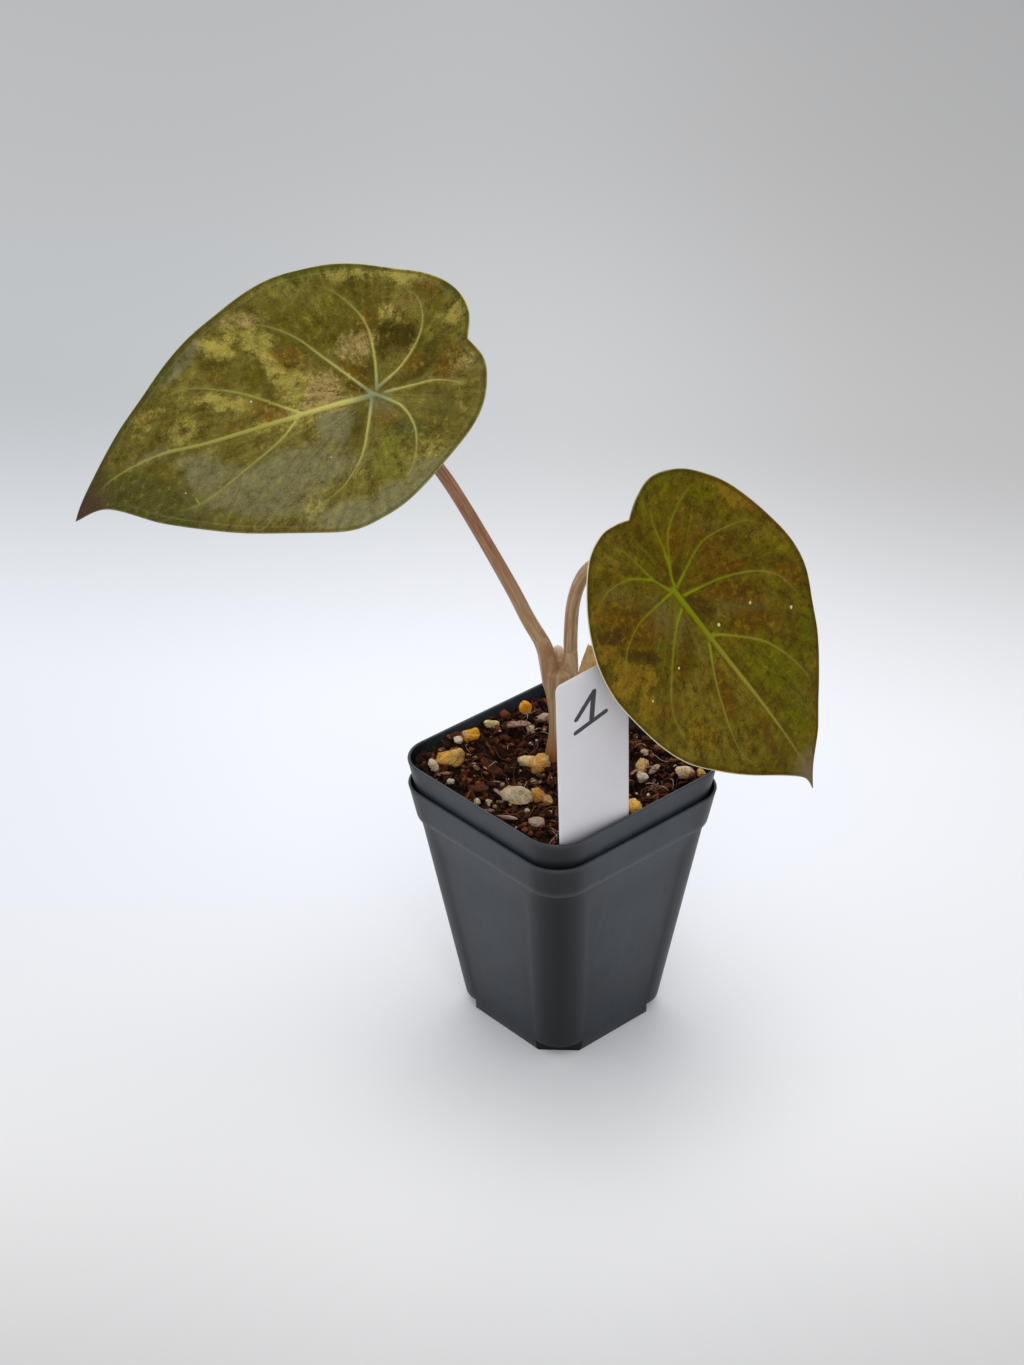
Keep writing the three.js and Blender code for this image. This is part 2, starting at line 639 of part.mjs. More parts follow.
// How far out a point lies: 0 at the stalk's point, 1 on the margin.
function outwardShare(leaf, point) {
  const angle = Math.atan2(point.y, point.x);
  const margin = leaf.margin;
  for (let i = 0; i < margin.length; i += 1) {
    const a = margin[i];
    const b = margin[(i + 1) % margin.length];
    const from = a.x * point.y - a.y * point.x;
    const to = b.x * point.y - b.y * point.x;
    const facing = (a.x + b.x) * Math.cos(angle) + (a.y + b.y) * Math.sin(angle) > 0;
    if (facing && from * to <= 0 && from !== to) {
      const rim = a.clone().lerp(b, from / (from - to));
      return point.length() / rim.length();
    }
  }
  return 1;
}

// Height of the upper face over the leaf's plane: the bent blade, its hollow at the stalk, the
// fold at the notch, the swell between the ribs and the wave of the margin.
function bladeHeight(leaf, point) {
  const tipward = Math.max(point.x, 0);
  const notchward = Math.min(point.x, 0);
  const reach = point.lengthSq();
  let height = -leaf.droop * tipward ** 2 - leaf.curl * tipward ** 3;
  height += leaf.lift * notchward ** 2 + leaf.cup * point.y ** 2 + leaf.twist * point.x * point.y;
  height -= leaf.dimple * Math.exp(-reach / (2 * leaf.dimpleRadius ** 2));
  const folding = smooth((-point.x - 3) / (-leaf.notch[0] - 3));
  height -= leaf.fold * folding * Math.exp(-((point.y / leaf.foldWidth) ** 2));
  const toRib = Math.min(...leaf.ribLines.map((line) => distanceToLine(point, line)));
  height += BLADE_PUFF * (1 - Math.exp(-((toRib / BLADE_PUFF_REACH) ** 2)));
  const wave = Math.sin(leaf.waveCount * Math.atan2(point.y, point.x) + leaf.wavePhase);
  return height + leaf.waveHeight * wave * outwardShare(leaf, point) ** 5;
}

function onBlade(leaf, point, lift) {
  return new THREE.Vector3(point.x, point.y, bladeHeight(leaf, point) + lift);
}

// The blade: spokes from the stalk's point to the margin, split alike on both faces.
function blade(leaf) {
  const margin = leaf.margin;
  const count = margin.length;
  const sides = [0, -BLADE_THICKNESS].map((lift) => {
    const rows = [[onBlade(leaf, new THREE.Vector2(), lift)]];
    for (let ring = 1; ring <= BLADE_RINGS; ring += 1) {
      const share = (ring / BLADE_RINGS) ** BLADE_RING_CROWDING;
      rows.push(margin.map((rim) => onBlade(leaf, rim.clone().multiplyScalar(share), lift)));
    }
    return rows;
  });
  const points = sides.flat(2);
  const faces = [];
  const half = points.length / 2;
  const at = (side, ring, i) => side * half + (ring === 0 ? 0 : 1 + (ring - 1) * count + (i % count));
  const add = (side, a, b, c) => faces.push(...(side === 0 ? [a, b, c] : [a, c, b]));
  for (let side = 0; side < 2; side += 1) {
    for (let i = 0; i < count; i += 1) {
      add(side, at(side, 0, 0), at(side, 1, i), at(side, 1, i + 1));
      for (let ring = 1; ring < BLADE_RINGS; ring += 1) {
        add(side, at(side, ring, i), at(side, ring + 1, i), at(side, ring + 1, i + 1));
        add(side, at(side, ring, i), at(side, ring + 1, i + 1), at(side, ring, i + 1));
      }
    }
  }
  for (let i = 0; i < count; i += 1) {
    const upper = [at(0, BLADE_RINGS, i), at(0, BLADE_RINGS, i + 1)];
    const lower = [at(1, BLADE_RINGS, i), at(1, BLADE_RINGS, i + 1)];
    faces.push(upper[0], lower[0], lower[1], upper[0], lower[1], upper[1]);
  }
  return solidFrom(outwardGeometry(points, faces));
}

// A raised rib along a line on the blade, on its upper or lower face, thinner to its end.
function rib(leaf, line, size, upper) {
  const height = upper ? size.height : size.underHeight;
  const rings = line.map((point, i) => {
    const before = line[Math.max(i - 1, 0)];
    const after = line[Math.min(i + 1, line.length - 1)];
    const side = after.clone().sub(before).normalize();
    side.set(-side.y, side.x);
    const share = 1 - (1 - size.taper) * (i / (line.length - 1));
    const base = bladeHeight(leaf, point) - (upper ? 0 : BLADE_THICKNESS);
    const sign = upper ? 1 : -1;
    return size.corners.map(([a, b]) => new THREE.Vector3(
      point.x + side.x * a * size.width * share,
      point.y + side.y * a * size.width * share,
      base + sign * (b > 0 ? b * height * share : -RIB_ROOT),
    ));
  });
  return solidFrom(skin(rings));
}

// Side veins of the net: short curved ridges that leave the ribs in turn on both sides.
function netLines(leaf) {
  const lines = [];
  leaf.ribLines.forEach((line, index) => {
    const curve = flatCurve(line.map((p) => p.toArray()));
    const length = curve.getLength();
    const last = length - NET_END_CLEARANCE;
    let along = index === 0 ? NET_FIRST_ON_MIDRIB : NET_SPACING;
    for (let turn = 1; along < last; turn = -turn) {
      const from = curve.getPointAt(along / length);
      const ahead = curve.getTangentAt(along / length);
      const aim = Math.atan2(ahead.y, ahead.x) + turn * radians(NET_ANGLE);
      const points = [0, 0.5, 1].map((step) => {
        const bend = aim - turn * radians(NET_BEND) * step;
        const way = new THREE.Vector2(Math.cos(bend), Math.sin(bend));
        return from.clone().addScaledVector(way, step * NET_LENGTH);
      });
      if (outwardShare(leaf, points[2]) < NET_OUTERMOST_SHARE) lines.push(points);
      along += NET_SPACING / 2;
    }
  });
  return lines;
}

// The knob under the blade's middle, where the stalk joins it.
function knob(leaf) {
  const low = -leaf.dimple - BLADE_THICKNESS - KNOB_HEIGHT;
  const height = KNOB_HEIGHT + BLADE_THICKNESS / 2;
  const shape = new THREE.CylinderGeometry(KNOB_RADIUS + KNOB_FLARE, KNOB_RADIUS, height, 12);
  shape.rotateX(Math.PI / 2);
  shape.translate(0, 0, low + height / 2);
  return solidFrom(shape);
}

function leafBlade(leaf) {
  leaf.margin = marginPoints(leaf);
  leaf.ribLines = [flatCurve(leaf.midrib).getPoints(MIDRIB_STEPS)];
  leaf.veins.forEach((points) => leaf.ribLines.push(flatCurve(points).getPoints(SIDE_RIB_STEPS)));
  const parts = [blade(leaf), knob(leaf)];
  leaf.ribLines.forEach((line, index) => {
    const size = index === 0 ? MIDRIB : SIDE_RIB;
    parts.push(rib(leaf, line, size, true), rib(leaf, line, size, false));
  });
  netLines(leaf).forEach((line) => parts.push(rib(leaf, line, NET_RIB, true)));
  return geometryFrom(largest(wasm.Manifold.union(parts).simplify(0.04)));
}

const finishes = {
  pot: { color: 0x3c4145, roughness: 0.45 },
  soil: { color: 0x4a2f22, roughness: 0.95 },
  label: { color: 0xeceaf0, roughness: 0.4 },
  stem: { color: 0x9a6f5c, roughness: 0.55 },
  shoot: { color: 0xd9b3a4, roughness: 0.5 },
  sheath: { color: 0xc08a4c, roughness: 0.9 },
  largeLeaf: { color: 0x5c6228, roughness: 0.42 },
  smallLeaf: { color: 0x4d4716, roughness: 0.42 },
};

function named(name, geometry, finish) {
  const material = new THREE.MeshStandardMaterial({ ...finishes[finish], metalness: 0 });
  const mesh = new THREE.Mesh(geometry, material);
  mesh.name = name;
  return mesh;
}

function placedByMatrix(mesh, matrix) {
  const holder = new THREE.Group();
  matrix.decompose(holder.position, holder.quaternion, holder.scale);
  holder.add(mesh);
  return holder;
}

const plant = new THREE.Group();
const pots = new THREE.Group();
pots.add(named('outer_pot', pot(), 'pot'));
const innerPot = named('inner_pot', pot(), 'pot');
innerPot.position.z = NESTING_STEP;
pots.add(innerPot);
plant.add(pots);
plant.add(named('soil', soil(), 'soil'));
plant.add(placedByMatrix(named('plant_label', labelBody(0), 'label'), labelPlace()));
plant.add(named('stem_base', stemBase(), 'stem'));
plant.add(named('stalk_large', largeStalk(), 'stem'));
plant.add(named('stalk_small', smallStalk(), 'stem'));
plant.add(named('new_shoot', newShoot(), 'shoot'));
plant.add(named('dried_sheath', driedSheath(), 'sheath'));
plant.add(placedByMatrix(named('leaf_large', leafBlade(LARGE_LEAF), 'largeLeaf'), leafPlace(LARGE_LEAF)));
plant.add(placedByMatrix(named('leaf_small', leafBlade(SMALL_LEAF), 'smallLeaf'), leafPlace(SMALL_LEAF)));

export default plant;
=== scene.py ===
"""Potted alocasia wentii: the looks of the plant, its soil, its label and its two nested pots."""

import math
import random
from types import SimpleNamespace

import bmesh
import bpy
import numpy as np
from bpy.props import FloatProperty, FloatVectorProperty, IntProperty, PointerProperty
from mathutils import Matrix, Vector, kdtree, noise
from mathutils.geometry import delaunay_2d_cdt


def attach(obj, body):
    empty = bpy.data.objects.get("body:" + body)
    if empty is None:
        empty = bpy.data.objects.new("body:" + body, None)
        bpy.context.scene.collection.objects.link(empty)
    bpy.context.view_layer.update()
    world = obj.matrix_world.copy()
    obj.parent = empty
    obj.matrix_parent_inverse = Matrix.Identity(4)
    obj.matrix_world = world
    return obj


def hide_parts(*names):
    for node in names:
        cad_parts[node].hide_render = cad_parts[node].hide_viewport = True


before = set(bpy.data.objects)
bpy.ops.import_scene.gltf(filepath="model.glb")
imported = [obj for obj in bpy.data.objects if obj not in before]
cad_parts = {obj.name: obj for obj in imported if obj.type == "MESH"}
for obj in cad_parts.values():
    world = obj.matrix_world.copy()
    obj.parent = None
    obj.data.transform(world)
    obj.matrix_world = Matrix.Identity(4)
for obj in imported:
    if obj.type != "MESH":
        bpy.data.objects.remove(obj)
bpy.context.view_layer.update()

bl_info = {
    "name": "Potted alocasia wentii",
    "version": (1, 0, 0),
    "blender": (4, 5, 0),
    "location": "View3D > Sidebar > Alocasia",
    "description": "Builds the leaves, stalks, soil, label and pots of a young potted aroid",
    "category": "Object",
}

# Sizes below are in millimetres in the part's own frame, and this turns them into metres.
MM = 0.001

POT_TOP_HALF = 35.0
POT_BOTTOM_HALF = 22.6
POT_HEIGHT = 78.2
POT_CORNER = 8.5
POT_CORNER_GROWTH = 2.6
POT_BAND_FOOT = POT_HEIGHT - 10.8
POT_BAND_STEP = 0.7
POT_WALL = 0.9
POT_FLOOR = 1.3
POT_NOTCH_HEIGHT = 3.6
POT_NOTCH_REACH = 36.4
NESTING_STEP = 8.34

SOIL_LEVEL = 81.6
SOIL_RISE = 1.6
SOIL_BUMP = 0.9
SOIL_BANK = 2.2

LABEL_WIDTH = 24.2
LABEL_THICKNESS = 0.5
LABEL_ABOVE_RIM = 61.3
LABEL_BELOW_RIM = -33.7
LABEL_CORNER = 1.8
LABEL_FOOT = (31.9, -17.5, 86.54)
LABEL_TURN = -5.5
LABEL_LEAN = 9.5
LABEL_TILT = 8.4

# Each leaf lies in its own plane: the first number runs from the stalk's point towards the tip,
# the second across the blade. Both margins run from the tip to the notch between the lobes.
LARGE_LEAF = {
    "hub": (-34, -38, 204.3), "heading": -125.9, "pitch": -18.4, "roll": -31.4,
    "droop": 0, "curl": 2.3e-5, "lift": 3.5e-3, "cup": 3.3e-3, "twist": -0.8e-3,
    "dimple": 1.6, "dimple_radius": 6, "fold": 2.5, "fold_width": 7,
    "notch": (-28.8, -5), "tip": (91.5, -4.1),
    "left": [
        (81.2, -1), (66.1, 12.5), (48.1, 25.3), (31.2, 34.7), (16.1, 41.7), (5.3, 40.7),
        (-7.1, 35.6), (-18.2, 27.5), (-27.1, 18.8), (-30.9, 9.7), (-31.1, 1.5),
    ],
    "right": [
        (86.9, -8.9), (70.4, -20.5), (52.2, -30.9), (33.2, -38.1), (17.5, -41.9), (3, -40.5),
        (-11.3, -34.9), (-22.5, -28.6), (-29.5, -20), (-31.5, -11.6),
    ],
    "wave": (0.6, 7, 0.8),
    "midrib": [(0, 0), (20.8, -0.9), (46.2, -3.7), (61.8, -7.3), (78, -8.2), (88, -5.4)],
    "veins": [
        [(0, 0), (9.9, -14.7), (16, -23.7), (23.8, -30.2), (34, -34)],
        [(-1, -1.5), (-3, -9.8), (-3.7, -18.8), (-1.9, -25.7), (2.7, -32.9), (8, -37)],
        [(-2, -2), (-9.3, -5), (-15.8, -10.4), (-19, -16.3), (-19, -22.6), (-15, -28.5)],
        [(-2.9, 0.5), (-12.2, 2.2), (-17, 3), (-22, 6.3), (-25, 11)],
        [(-0.9, 0.6), (-6.2, 7), (-8.2, 15.1), (-7, 22.7), (-4.3, 28.5), (1, 34.5)],
        [(1.1, 0.9), (3.8, 9.4), (7, 17.4), (11.6, 23.4), (16.2, 27.1), (26, 31)],
        [(20.5, -1.5), (32.8, -12.4), (41.2, -17.9), (49.2, -21.7), (60, -23)],
        [(21.2, -0.6), (27.3, 3.9), (36, 7.6), (52.3, 12.8), (63, 11)],
    ],
}

SMALL_LEAF = {
    "hub": (40.9, 3.6, 158.5), "heading": 49, "pitch": -55, "roll": 47,
    "droop": 0.7e-3, "curl": 1e-5, "lift": 0.4e-3, "cup": 1.3e-3, "twist": 0.6e-3,
    "dimple": 1.4, "dimple_radius": 5, "fold": 2.2, "fold_width": 6,
    "notch": (-23.8, 2.2), "tip": (80.1, -0.2),
    "left": [
        (74, 3.7), (65.8, 11.2), (55.6, 19.6), (46.4, 25.6), (35.4, 31.3), (25.2, 35.3),
        (14.4, 36.5), (4, 35.5), (-6, 32.7), (-14.5, 29), (-22.3, 23.4), (-27.3, 15.3), (-26.8, 7.6),
    ],
    "right": [
        (75, -0.8), (67.7, -6.4), (57.8, -15.3), (48.3, -22.6), (37.5, -29.4), (25.5, -33.8),
        (13, -35.8), (1.9, -35.2), (-9.3, -31.6), (-19, -24.8), (-25.9, -16.3), (-27.8, -7.8),
        (-25.8, -1.6),
    ],
    "wave": (0.5, 6, 2.1),
    "midrib": [(0, 0), (11.6, -0.8), (28, -0.6), (50.4, 0.5), (69.3, 1.2), (77.5, 0.6)],
    "veins": [
        [(0, 0.8), (-4.4, 2.5), (-12.8, 8.9), (-16.5, 19.2), (-16, 26)],
        [(-4.4, 2.5), (-12.1, 5.2), (-18.7, 7.3), (-23.5, 11)],
        [(0.6, 1.4), (-2.8, 12), (-2.1, 18.8), (2.7, 28.9), (8, 33)],
        [(3.7, 1.3), (8.3, 12.1), (15.6, 22.4), (23, 27.5), (34, 29)],
        [(-0.4, -0.9), (-7.5, -3.6), (-18.9, -5), (-23.6, -8.5)],
        [(-7.3, -3.8), (-13.1, -9.5), (-16.1, -17.2), (-15, -23.5)],
        [(0.3, -1.1), (-2.4, -13.7), (-1.5, -20.4), (0.4, -24.6), (6, -31)],
        [(5.6, -2), (8.6, -9), (19.5, -21.6), (27.2, -25.5), (37, -26)],
        [(17.7, -0.1), (22.4, 4.4), (34.1, 12.7), (50.2, 17), (58, 14.5)],
        [(19, -2.4), (31, -9), (48.7, -14.1), (59, -11.5)],
    ],
}

# The photograph's camera, found from the pots: its place in millimetres, its angles and its lens.
PHOTO_SIZE = (1024, 1365)
CAMERA_PLACE = (533.563, -497.388, 557.822)
CAMERA_ANGLES = (48.1359, 31.4156, -0.5044)
CAMERA_LENS = 79.12
CAMERA_SENSOR = 36

# Blotches, each an ellipse placed on an enlarged view of a blade in the photograph, in the
# view's own pixels: middle, two half widths, turn in degrees and strength. A view is its left and
# top in the photograph and its enlargement, and on_blade works out where on the blade a pixel lies.
LARGE_VIEW = (60, 250, 3.563)
SMALL_VIEW = (560, 440, 4.239)
LARGE_BLOTCHES = {
    "olive": [
        (850, 280, 130, 80, 20, 1.1), (1015, 235, 95, 70, 0, 1.0), (970, 310, 60, 60, 0, .8),
        (690, 450, 50, 55, 40, .9), (570, 425, 80, 30, 15, .7), (1340, 190, 30, 60, 20, .6),
        (690, 745, 70, 22, -18, .6), (1070, 640, 24, 75, 12, .9), (620, 660, 110, 16, -14, .5),
        (1000, 165, 80, 30, 0, .8),
    ],
    "dark": [
        (280, 860, 190, 60, 12, 1.3), (215, 915, 130, 44, 15, 1.3), (400, 958, 150, 42, 8, 1.1),
        (1240, 640, 75, 36, 10, 1.1), (330, 470, 150, 28, -48, .8), (200, 670, 110, 22, -60, .7),
        (1395, 120, 60, 26, 40, .7), (480, 320, 110, 20, -42, .6), (1360, 560, 50, 70, 10, .5),
        (1300, 400, 26, 80, 30, .8), (520, 930, 160, 14, 6, .6),
    ],
    "green": [
        (1180, 725, 48, 75, 0, 1.0), (1145, 800, 60, 40, -20, .6), (1325, 285, 24, 45, 25, .8),
        (930, 215, 60, 40, 0, .5), (1040, 840, 60, 26, -40, .5), (800, 95, 110, 50, -10, .9),
        (1010, 60, 110, 40, 5, .9), (1443, 242, 60, 70, 0, .7),
    ],
    "tan": [
        (795, 450, 150, 40, 54, 1.1), (700, 335, 70, 40, 35, 1.1), (560, 362, 66, 36, 10, 1.2),
        (645, 305, 80, 24, 0, .8), (600, 548, 125, 26, 9, 1.1), (440, 645, 60, 36, -20, .65),
        (285, 640, 60, 30, -50, .4), (1240, 88, 100, 32, 8, 1.1), (1030, 95, 80, 22, 0, .9),
        (1310, 700, 60, 52, 0, .4), (900, 925, 75, 42, 0, .3), (1405, 235, 55, 34, -45, .9),
        (1290, 180, 34, 60, 0, .6), (1180, 235, 50, 42, 0, .5), (860, 470, 60, 40, 30, .9),
        (1080, 800, 34, 24, 0, .3), (330, 590, 60, 30, -20, .5), (800, 606, 110, 44, -14, .8),
    ],
    "pink": [
        (928, 490, 60, 50, 0, 1.1), (935, 552, 120, 26, -10, 1.1), (1055, 345, 70, 50, -10, .8),
        (655, 252, 90, 30, -8, .6), (1440, 405, 50, 26, -25, .7), (1310, 85, 30, 14, 0, .6),
        (1180, 215, 20, 22, 0, .5),
    ],
    "brown": [
        (1060, 448, 68, 44, 25, 1.1), (745, 570, 85, 34, 14, .9), (820, 385, 70, 36, 30, .9),
        (1290, 150, 52, 60, 30, .7), (1255, 385, 40, 60, 15, .8), (1150, 590, 50, 46, 0, .5),
        (1100, 270, 40, 60, 0, .7), (1375, 430, 40, 50, 0, .8), (640, 622, 110, 16, -14, .7),
        (560, 470, 60, 26, 20, .5), (1400, 350, 60, 20, 30, .6),
    ],
    "umber": [
        (1205, 302, 76, 44, 12, 1.2), (1150, 345, 44, 40, 0, .7), (1110, 420, 34, 40, 0, .6),
        (1060, 480, 36, 16, 10, .6),
    ],
    # The large blade's grey patches are a painted sheen: whitish reflections laid into its colour.
    "grey": [
        (520, 808, 90, 66, 30, 1.1), (985, 625, 70, 66, 0, 1.2), (445, 400, 90, 22, -45, 1.1),
        (800, 800, 260, 85, -12, 1.0), (700, 905, 280, 50, 2, .8), (1200, 900, 130, 60, -30, 1.1),
        (1015, 944, 130, 50, -5, 1.0), (1300, 800, 110, 50, -40, .7), (1150, 560, 60, 40, 0, .6),
        (330, 740, 90, 30, -20, .5),
    ],
}
SMALL_BLOTCHES = {
    "olive": [
        (690, 1100, 260, 130, 60, .5), (560, 1110, 110, 110, 0, .9), (845, 372, 62, 40, 0, .8),
        (640, 1330, 220, 40, 4, .6), (800, 1120, 50, 130, -20, .6), (225, 500, 56, 40, 40, .9),
    ],
    "green": [
        (905, 965, 120, 105, 30, 1.2), (1045, 790, 34, 170, 4, 1.1), (430, 180, 70, 46, -30, .9),
        (335, 255, 34, 70, 25, .7), (595, 230, 60, 56, 0, .7), (1000, 1150, 60, 120, -20, .8),
        (430, 900, 44, 80, 0, .6), (390, 520, 26, 100, -24, .6),
    ],
    "grey": [
        (420, 760, 70, 90, 10, .7), (250, 670, 100, 50, 20, .45), (590, 880, 40, 90, -20, .5),
        (740, 690, 140, 60, 0, .5), (1045, 1360, 40, 60, 0, 1.3), (510, 800, 60, 80, 0, .6),
        (620, 360, 50, 40, 0, .4),
    ],
    "tan": [
        (322, 1000, 82, 56, 8, 1.4), (196, 900, 44, 46, -20, 1.4), (152, 745, 22, 50, 0, .8),
        (760, 245, 120, 46, 25, .8), (380, 1150, 60, 50, 30, .7), (270, 1060, 50, 44, 30, .8),
        (600, 1260, 80, 60, 0, .4), (330, 150, 60, 40, -30, .7),
    ],
    "brown": [
        (300, 790, 130, 100, 20, .9), (482, 430, 30, 110, 12, .9), (690, 535, 110, 30, -8, 1.1),
        (720, 640, 140, 60, 10, .9), (620, 440, 80, 90, 0, .7), (960, 560, 90, 50, 30, .6),
        (328, 395, 22, 70, -30, .9), (700, 1080, 30, 110, -18, 1.1), (820, 760, 110, 50, -10, .8),
        (520, 960, 40, 60, 0, .6), (860, 320, 90, 60, 30, .4), (470, 1150, 50, 70, 0, .5),
        (870, 1250, 30, 100, -24, .6),
    ],
    "umber": [
        (590, 715, 70, 46, 35, 1.0), (225, 838, 70, 28, 12, 1.0), (350, 918, 80, 26, 8, 1.2),
        (470, 560, 40, 60, 0, .7), (640, 590, 60, 22, -10, .6), (700, 420, 60, 40, 0, .6),
        (800, 640, 100, 30, 0, .5), (320, 720, 70, 40, 0, .4),
    ],
}
# Pale specks: place on the blade and size. The scratch has a place, two half widths and a turn, and
# the ring a place and two half widths.
LARGE_SPECKS = [(57.1, 7.7, 0.35), (15.6, 15.7, 0.3), (32.7, -10.5, 0.45)]
SMALL_SPECKS = [
    (20.5, 15, 0.55), (31.9, 24.5, 0.6), (17.5, 3.6, 0.6), (16, -14.2, 0.4), (15.1, -27.1, 0.45),
]
LARGE_SCRATCH = (54.4, 11.6, 1.5, 0.3, 103)
LARGE_RING = (38.3, 27.9, 2.4, 1.5)
# Folds beside the notch and between the lower ribs: line, half width and depth.
LARGE_FOLDS = [
    ([(-5, 0), (-11.8, -1), (-17.2, -2.9), (-20.7, -6.4), (-25, -7)], 1.5, 0.45),
    ([(-9, 2.6), (-14, 4.6), (-19, 9), (-21, 14)], 1.4, 0.25),
    ([(-14, -4), (-19, -8), (-23, -10), (-27, -9)], 1.0, 0.25),
    ([(5, 2.5), (7.6, 9.3), (11.4, 15.4)], 2.2, 0.35),
]
SMALL_FOLDS = [
    ([(-4, 1), (-11, 1.6), (-17, 2.4), (-22, 2.6)], 1.6, 0.4),
    ([(8, -2.5), (14, -8), (19, -16)], 2.4, 0.25),
]

# Steps along a blade's margin, along its ribs and along the faint side veins between them.
MARGIN_STEP = 0.7
RIB_STEP = 0.9
NET_ROOT_STEP = 0.5
NET_STEP = 0.9
# The blade swells between its ribs by this much, at this distance from them.
SWELL = 0.8
SWELL_REACH = 7


def smooth(x):
    """A soft step from 0 at 0 to 1 at 1."""
    k = np.clip(x, 0.0, 1.0)
    return k * k * (3.0 - 2.0 * k)


def curve_points(points, divisions):
    """Points of the smooth curve through the given ones, at equal steps of its parameter."""
    stations = np.array(points, float)
    last = len(stations) - 1
    rows = []
    for step in range(divisions + 1):
        place = last * step / divisions
        index = min(int(place), last - 1)
        t = place - index
        before, start = stations[max(index - 1, 0)], stations[index]
        end, after = stations[index + 1], stations[min(index + 2, last)]
        out, into = (end - before) / 2, (after - start) / 2
        cubic = (2 * start - 2 * end + out + into) * t ** 3
        cubic += (-3 * start + 3 * end - 2 * out - into) * t ** 2
        rows.append(cubic + out * t + start)
    return np.array(rows)


def even_points(line, spacing):
    """The same line with points at an even distance."""
    steps = np.linalg.norm(np.diff(line, axis=0), axis=1)
    reach = np.concatenate([[0.0], np.cumsum(steps)])
    count = max(2, int(round(reach[-1] / spacing)) + 1)
    wanted = np.linspace(0, reach[-1], count)
    return np.stack([np.interp(wanted, reach, line[:, i]) for i in range(line.shape[1])], axis=1)


def line_distance(points, line):
    """Distance from each flat point to a line, and how far along the line the nearest place is."""
    best = np.full(len(points), 1e9)
    share = np.zeros(len(points))
    lengths = np.linalg.norm(np.diff(line, axis=0), axis=1)
    total = lengths.sum()
    gone = 0.0
    for start, end, length in zip(line[:-1], line[1:], lengths):
        span = end - start
        k = np.clip((points - start) @ span / max(length ** 2, 1e-12), 0, 1)
        off = np.linalg.norm(points - start - k[:, None] * span, axis=1)
        nearer = off < best
        best[nearer] = off[nearer]
        share[nearer] = (gone + k[nearer] * length) / total
        gone += length
    return best, share


def leaf_axes(leaf):
    """Directions along the blade, across it and out of its face."""
    heading, pitch, roll = (math.radians(leaf[k]) for k in ("heading", "pitch", "roll"))
    along = np.array([
        math.cos(heading) * math.cos(pitch), math.sin(heading) * math.cos(pitch), math.sin(pitch),
    ])
    level = np.array([-math.sin(heading), math.cos(heading), 0.0])
    above = np.cross(along, level)
    across = level * math.cos(roll) + above * math.sin(roll)
    return along, across, np.cross(along, across)


def margin_loop(leaf):
    """The whole margin as evenly spaced points, from the tip round and back."""
    left, right = (
        even_points(curve_points([leaf["tip"], *leaf[side], leaf["notch"]], 240), MARGIN_STEP)
        for side in ("left", "right")
    )
    return np.concatenate([left, right[1:-1][::-1]])


def rim_share(points, margin):
    """How far out each point lies: 0 at the stalk's point, 1 on the margin."""
    angles = np.arctan2(margin[:, 1], margin[:, 0])
    reach = np.linalg.norm(margin, axis=1)
    order = np.argsort(angles)
    wrapped = np.concatenate([angles[order] - 2 * np.pi, angles[order], angles[order] + 2 * np.pi])
    reaches = np.tile(reach[order], 3)
    at = np.interp(np.arctan2(points[:, 1], points[:, 0]), wrapped, reaches)
    return np.clip(np.linalg.norm(points, axis=1) / at, 0, 1)


def blade_bend(leaf, points):
    """Height of the bent blade over the leaf's own plane, without its waves and swells."""
    s, t = points[:, 0], points[:, 1]
    tipward, notchward = np.maximum(s, 0), np.minimum(s, 0)
    reach = s * s + t * t
    height = -leaf["droop"] * tipward ** 2 - leaf["curl"] * tipward ** 3
    height += leaf["lift"] * notchward ** 2 + leaf["cup"] * t * t + leaf["twist"] * s * t
    height -= leaf["dimple"] * np.exp(-reach / (2 * leaf["dimple_radius"] ** 2))
    folding = smooth((-s - 3) / (-leaf["notch"][0] - 3))
    return height - leaf["fold"] * folding * np.exp(-((t / leaf["fold_width"]) ** 2))


def blade_height(leaf, points, margin, to_rib):
    """Height of the blade over the leaf's own plane, as in the solid part."""
    s, t = points[:, 0], points[:, 1]
    height = blade_bend(leaf, points) + SWELL * (1 - np.exp(-((to_rib / SWELL_REACH) ** 2)))
    size, count, phase = leaf["wave"]
    wave = np.sin(count * np.arctan2(t, s) + phase)
    return height + size * wave * rim_share(points, margin) ** 5


def noise_at(points, scale, offset, octaves=3):
    """Soft noise of about -1 to 1 at each point, with features of about the given size."""
    out = np.empty(len(points))
    for i, p in enumerate(points):
        height = p[2] / scale if len(p) > 2 else 0.0
        place = Vector((p[0] / scale + offset, p[1] / scale - offset, height))
        out[i] = noise.fractal(place, 0.8, 2.0, octaves)
    return out


def rib_table(leaf, settings):
    """The raised ribs: a fine line, its width and its heights over and under the blade."""
    ribs = []
    for index, points in enumerate([leaf["midrib"], *leaf["veins"]]):
        main = index == 0
        ribs.append({
            "line": even_points(curve_points(points, 160), RIB_STEP),
            "width": settings.midrib_width / MM if main else settings.vein_width / MM,
            "height": 0.55 if main else 0.36,
            "under": 1.35 if main else 0.95,
            "taper": 0.3 if main else 0.4,
        })
    return ribs


def sideways(line):
    """The way to the left of a flat line at each of its points."""
    ahead = np.gradient(line, axis=0)
    ahead /= np.maximum(np.linalg.norm(ahead, axis=1), 1e-9)[:, None]
    return np.stack([-ahead[:, 1], ahead[:, 0]], axis=1)


def inward_of(margin):
    """The way into the blade at each point of its margin."""
    return sideways(np.concatenate([margin[-1:], margin, margin[:1]]))[1:-1]


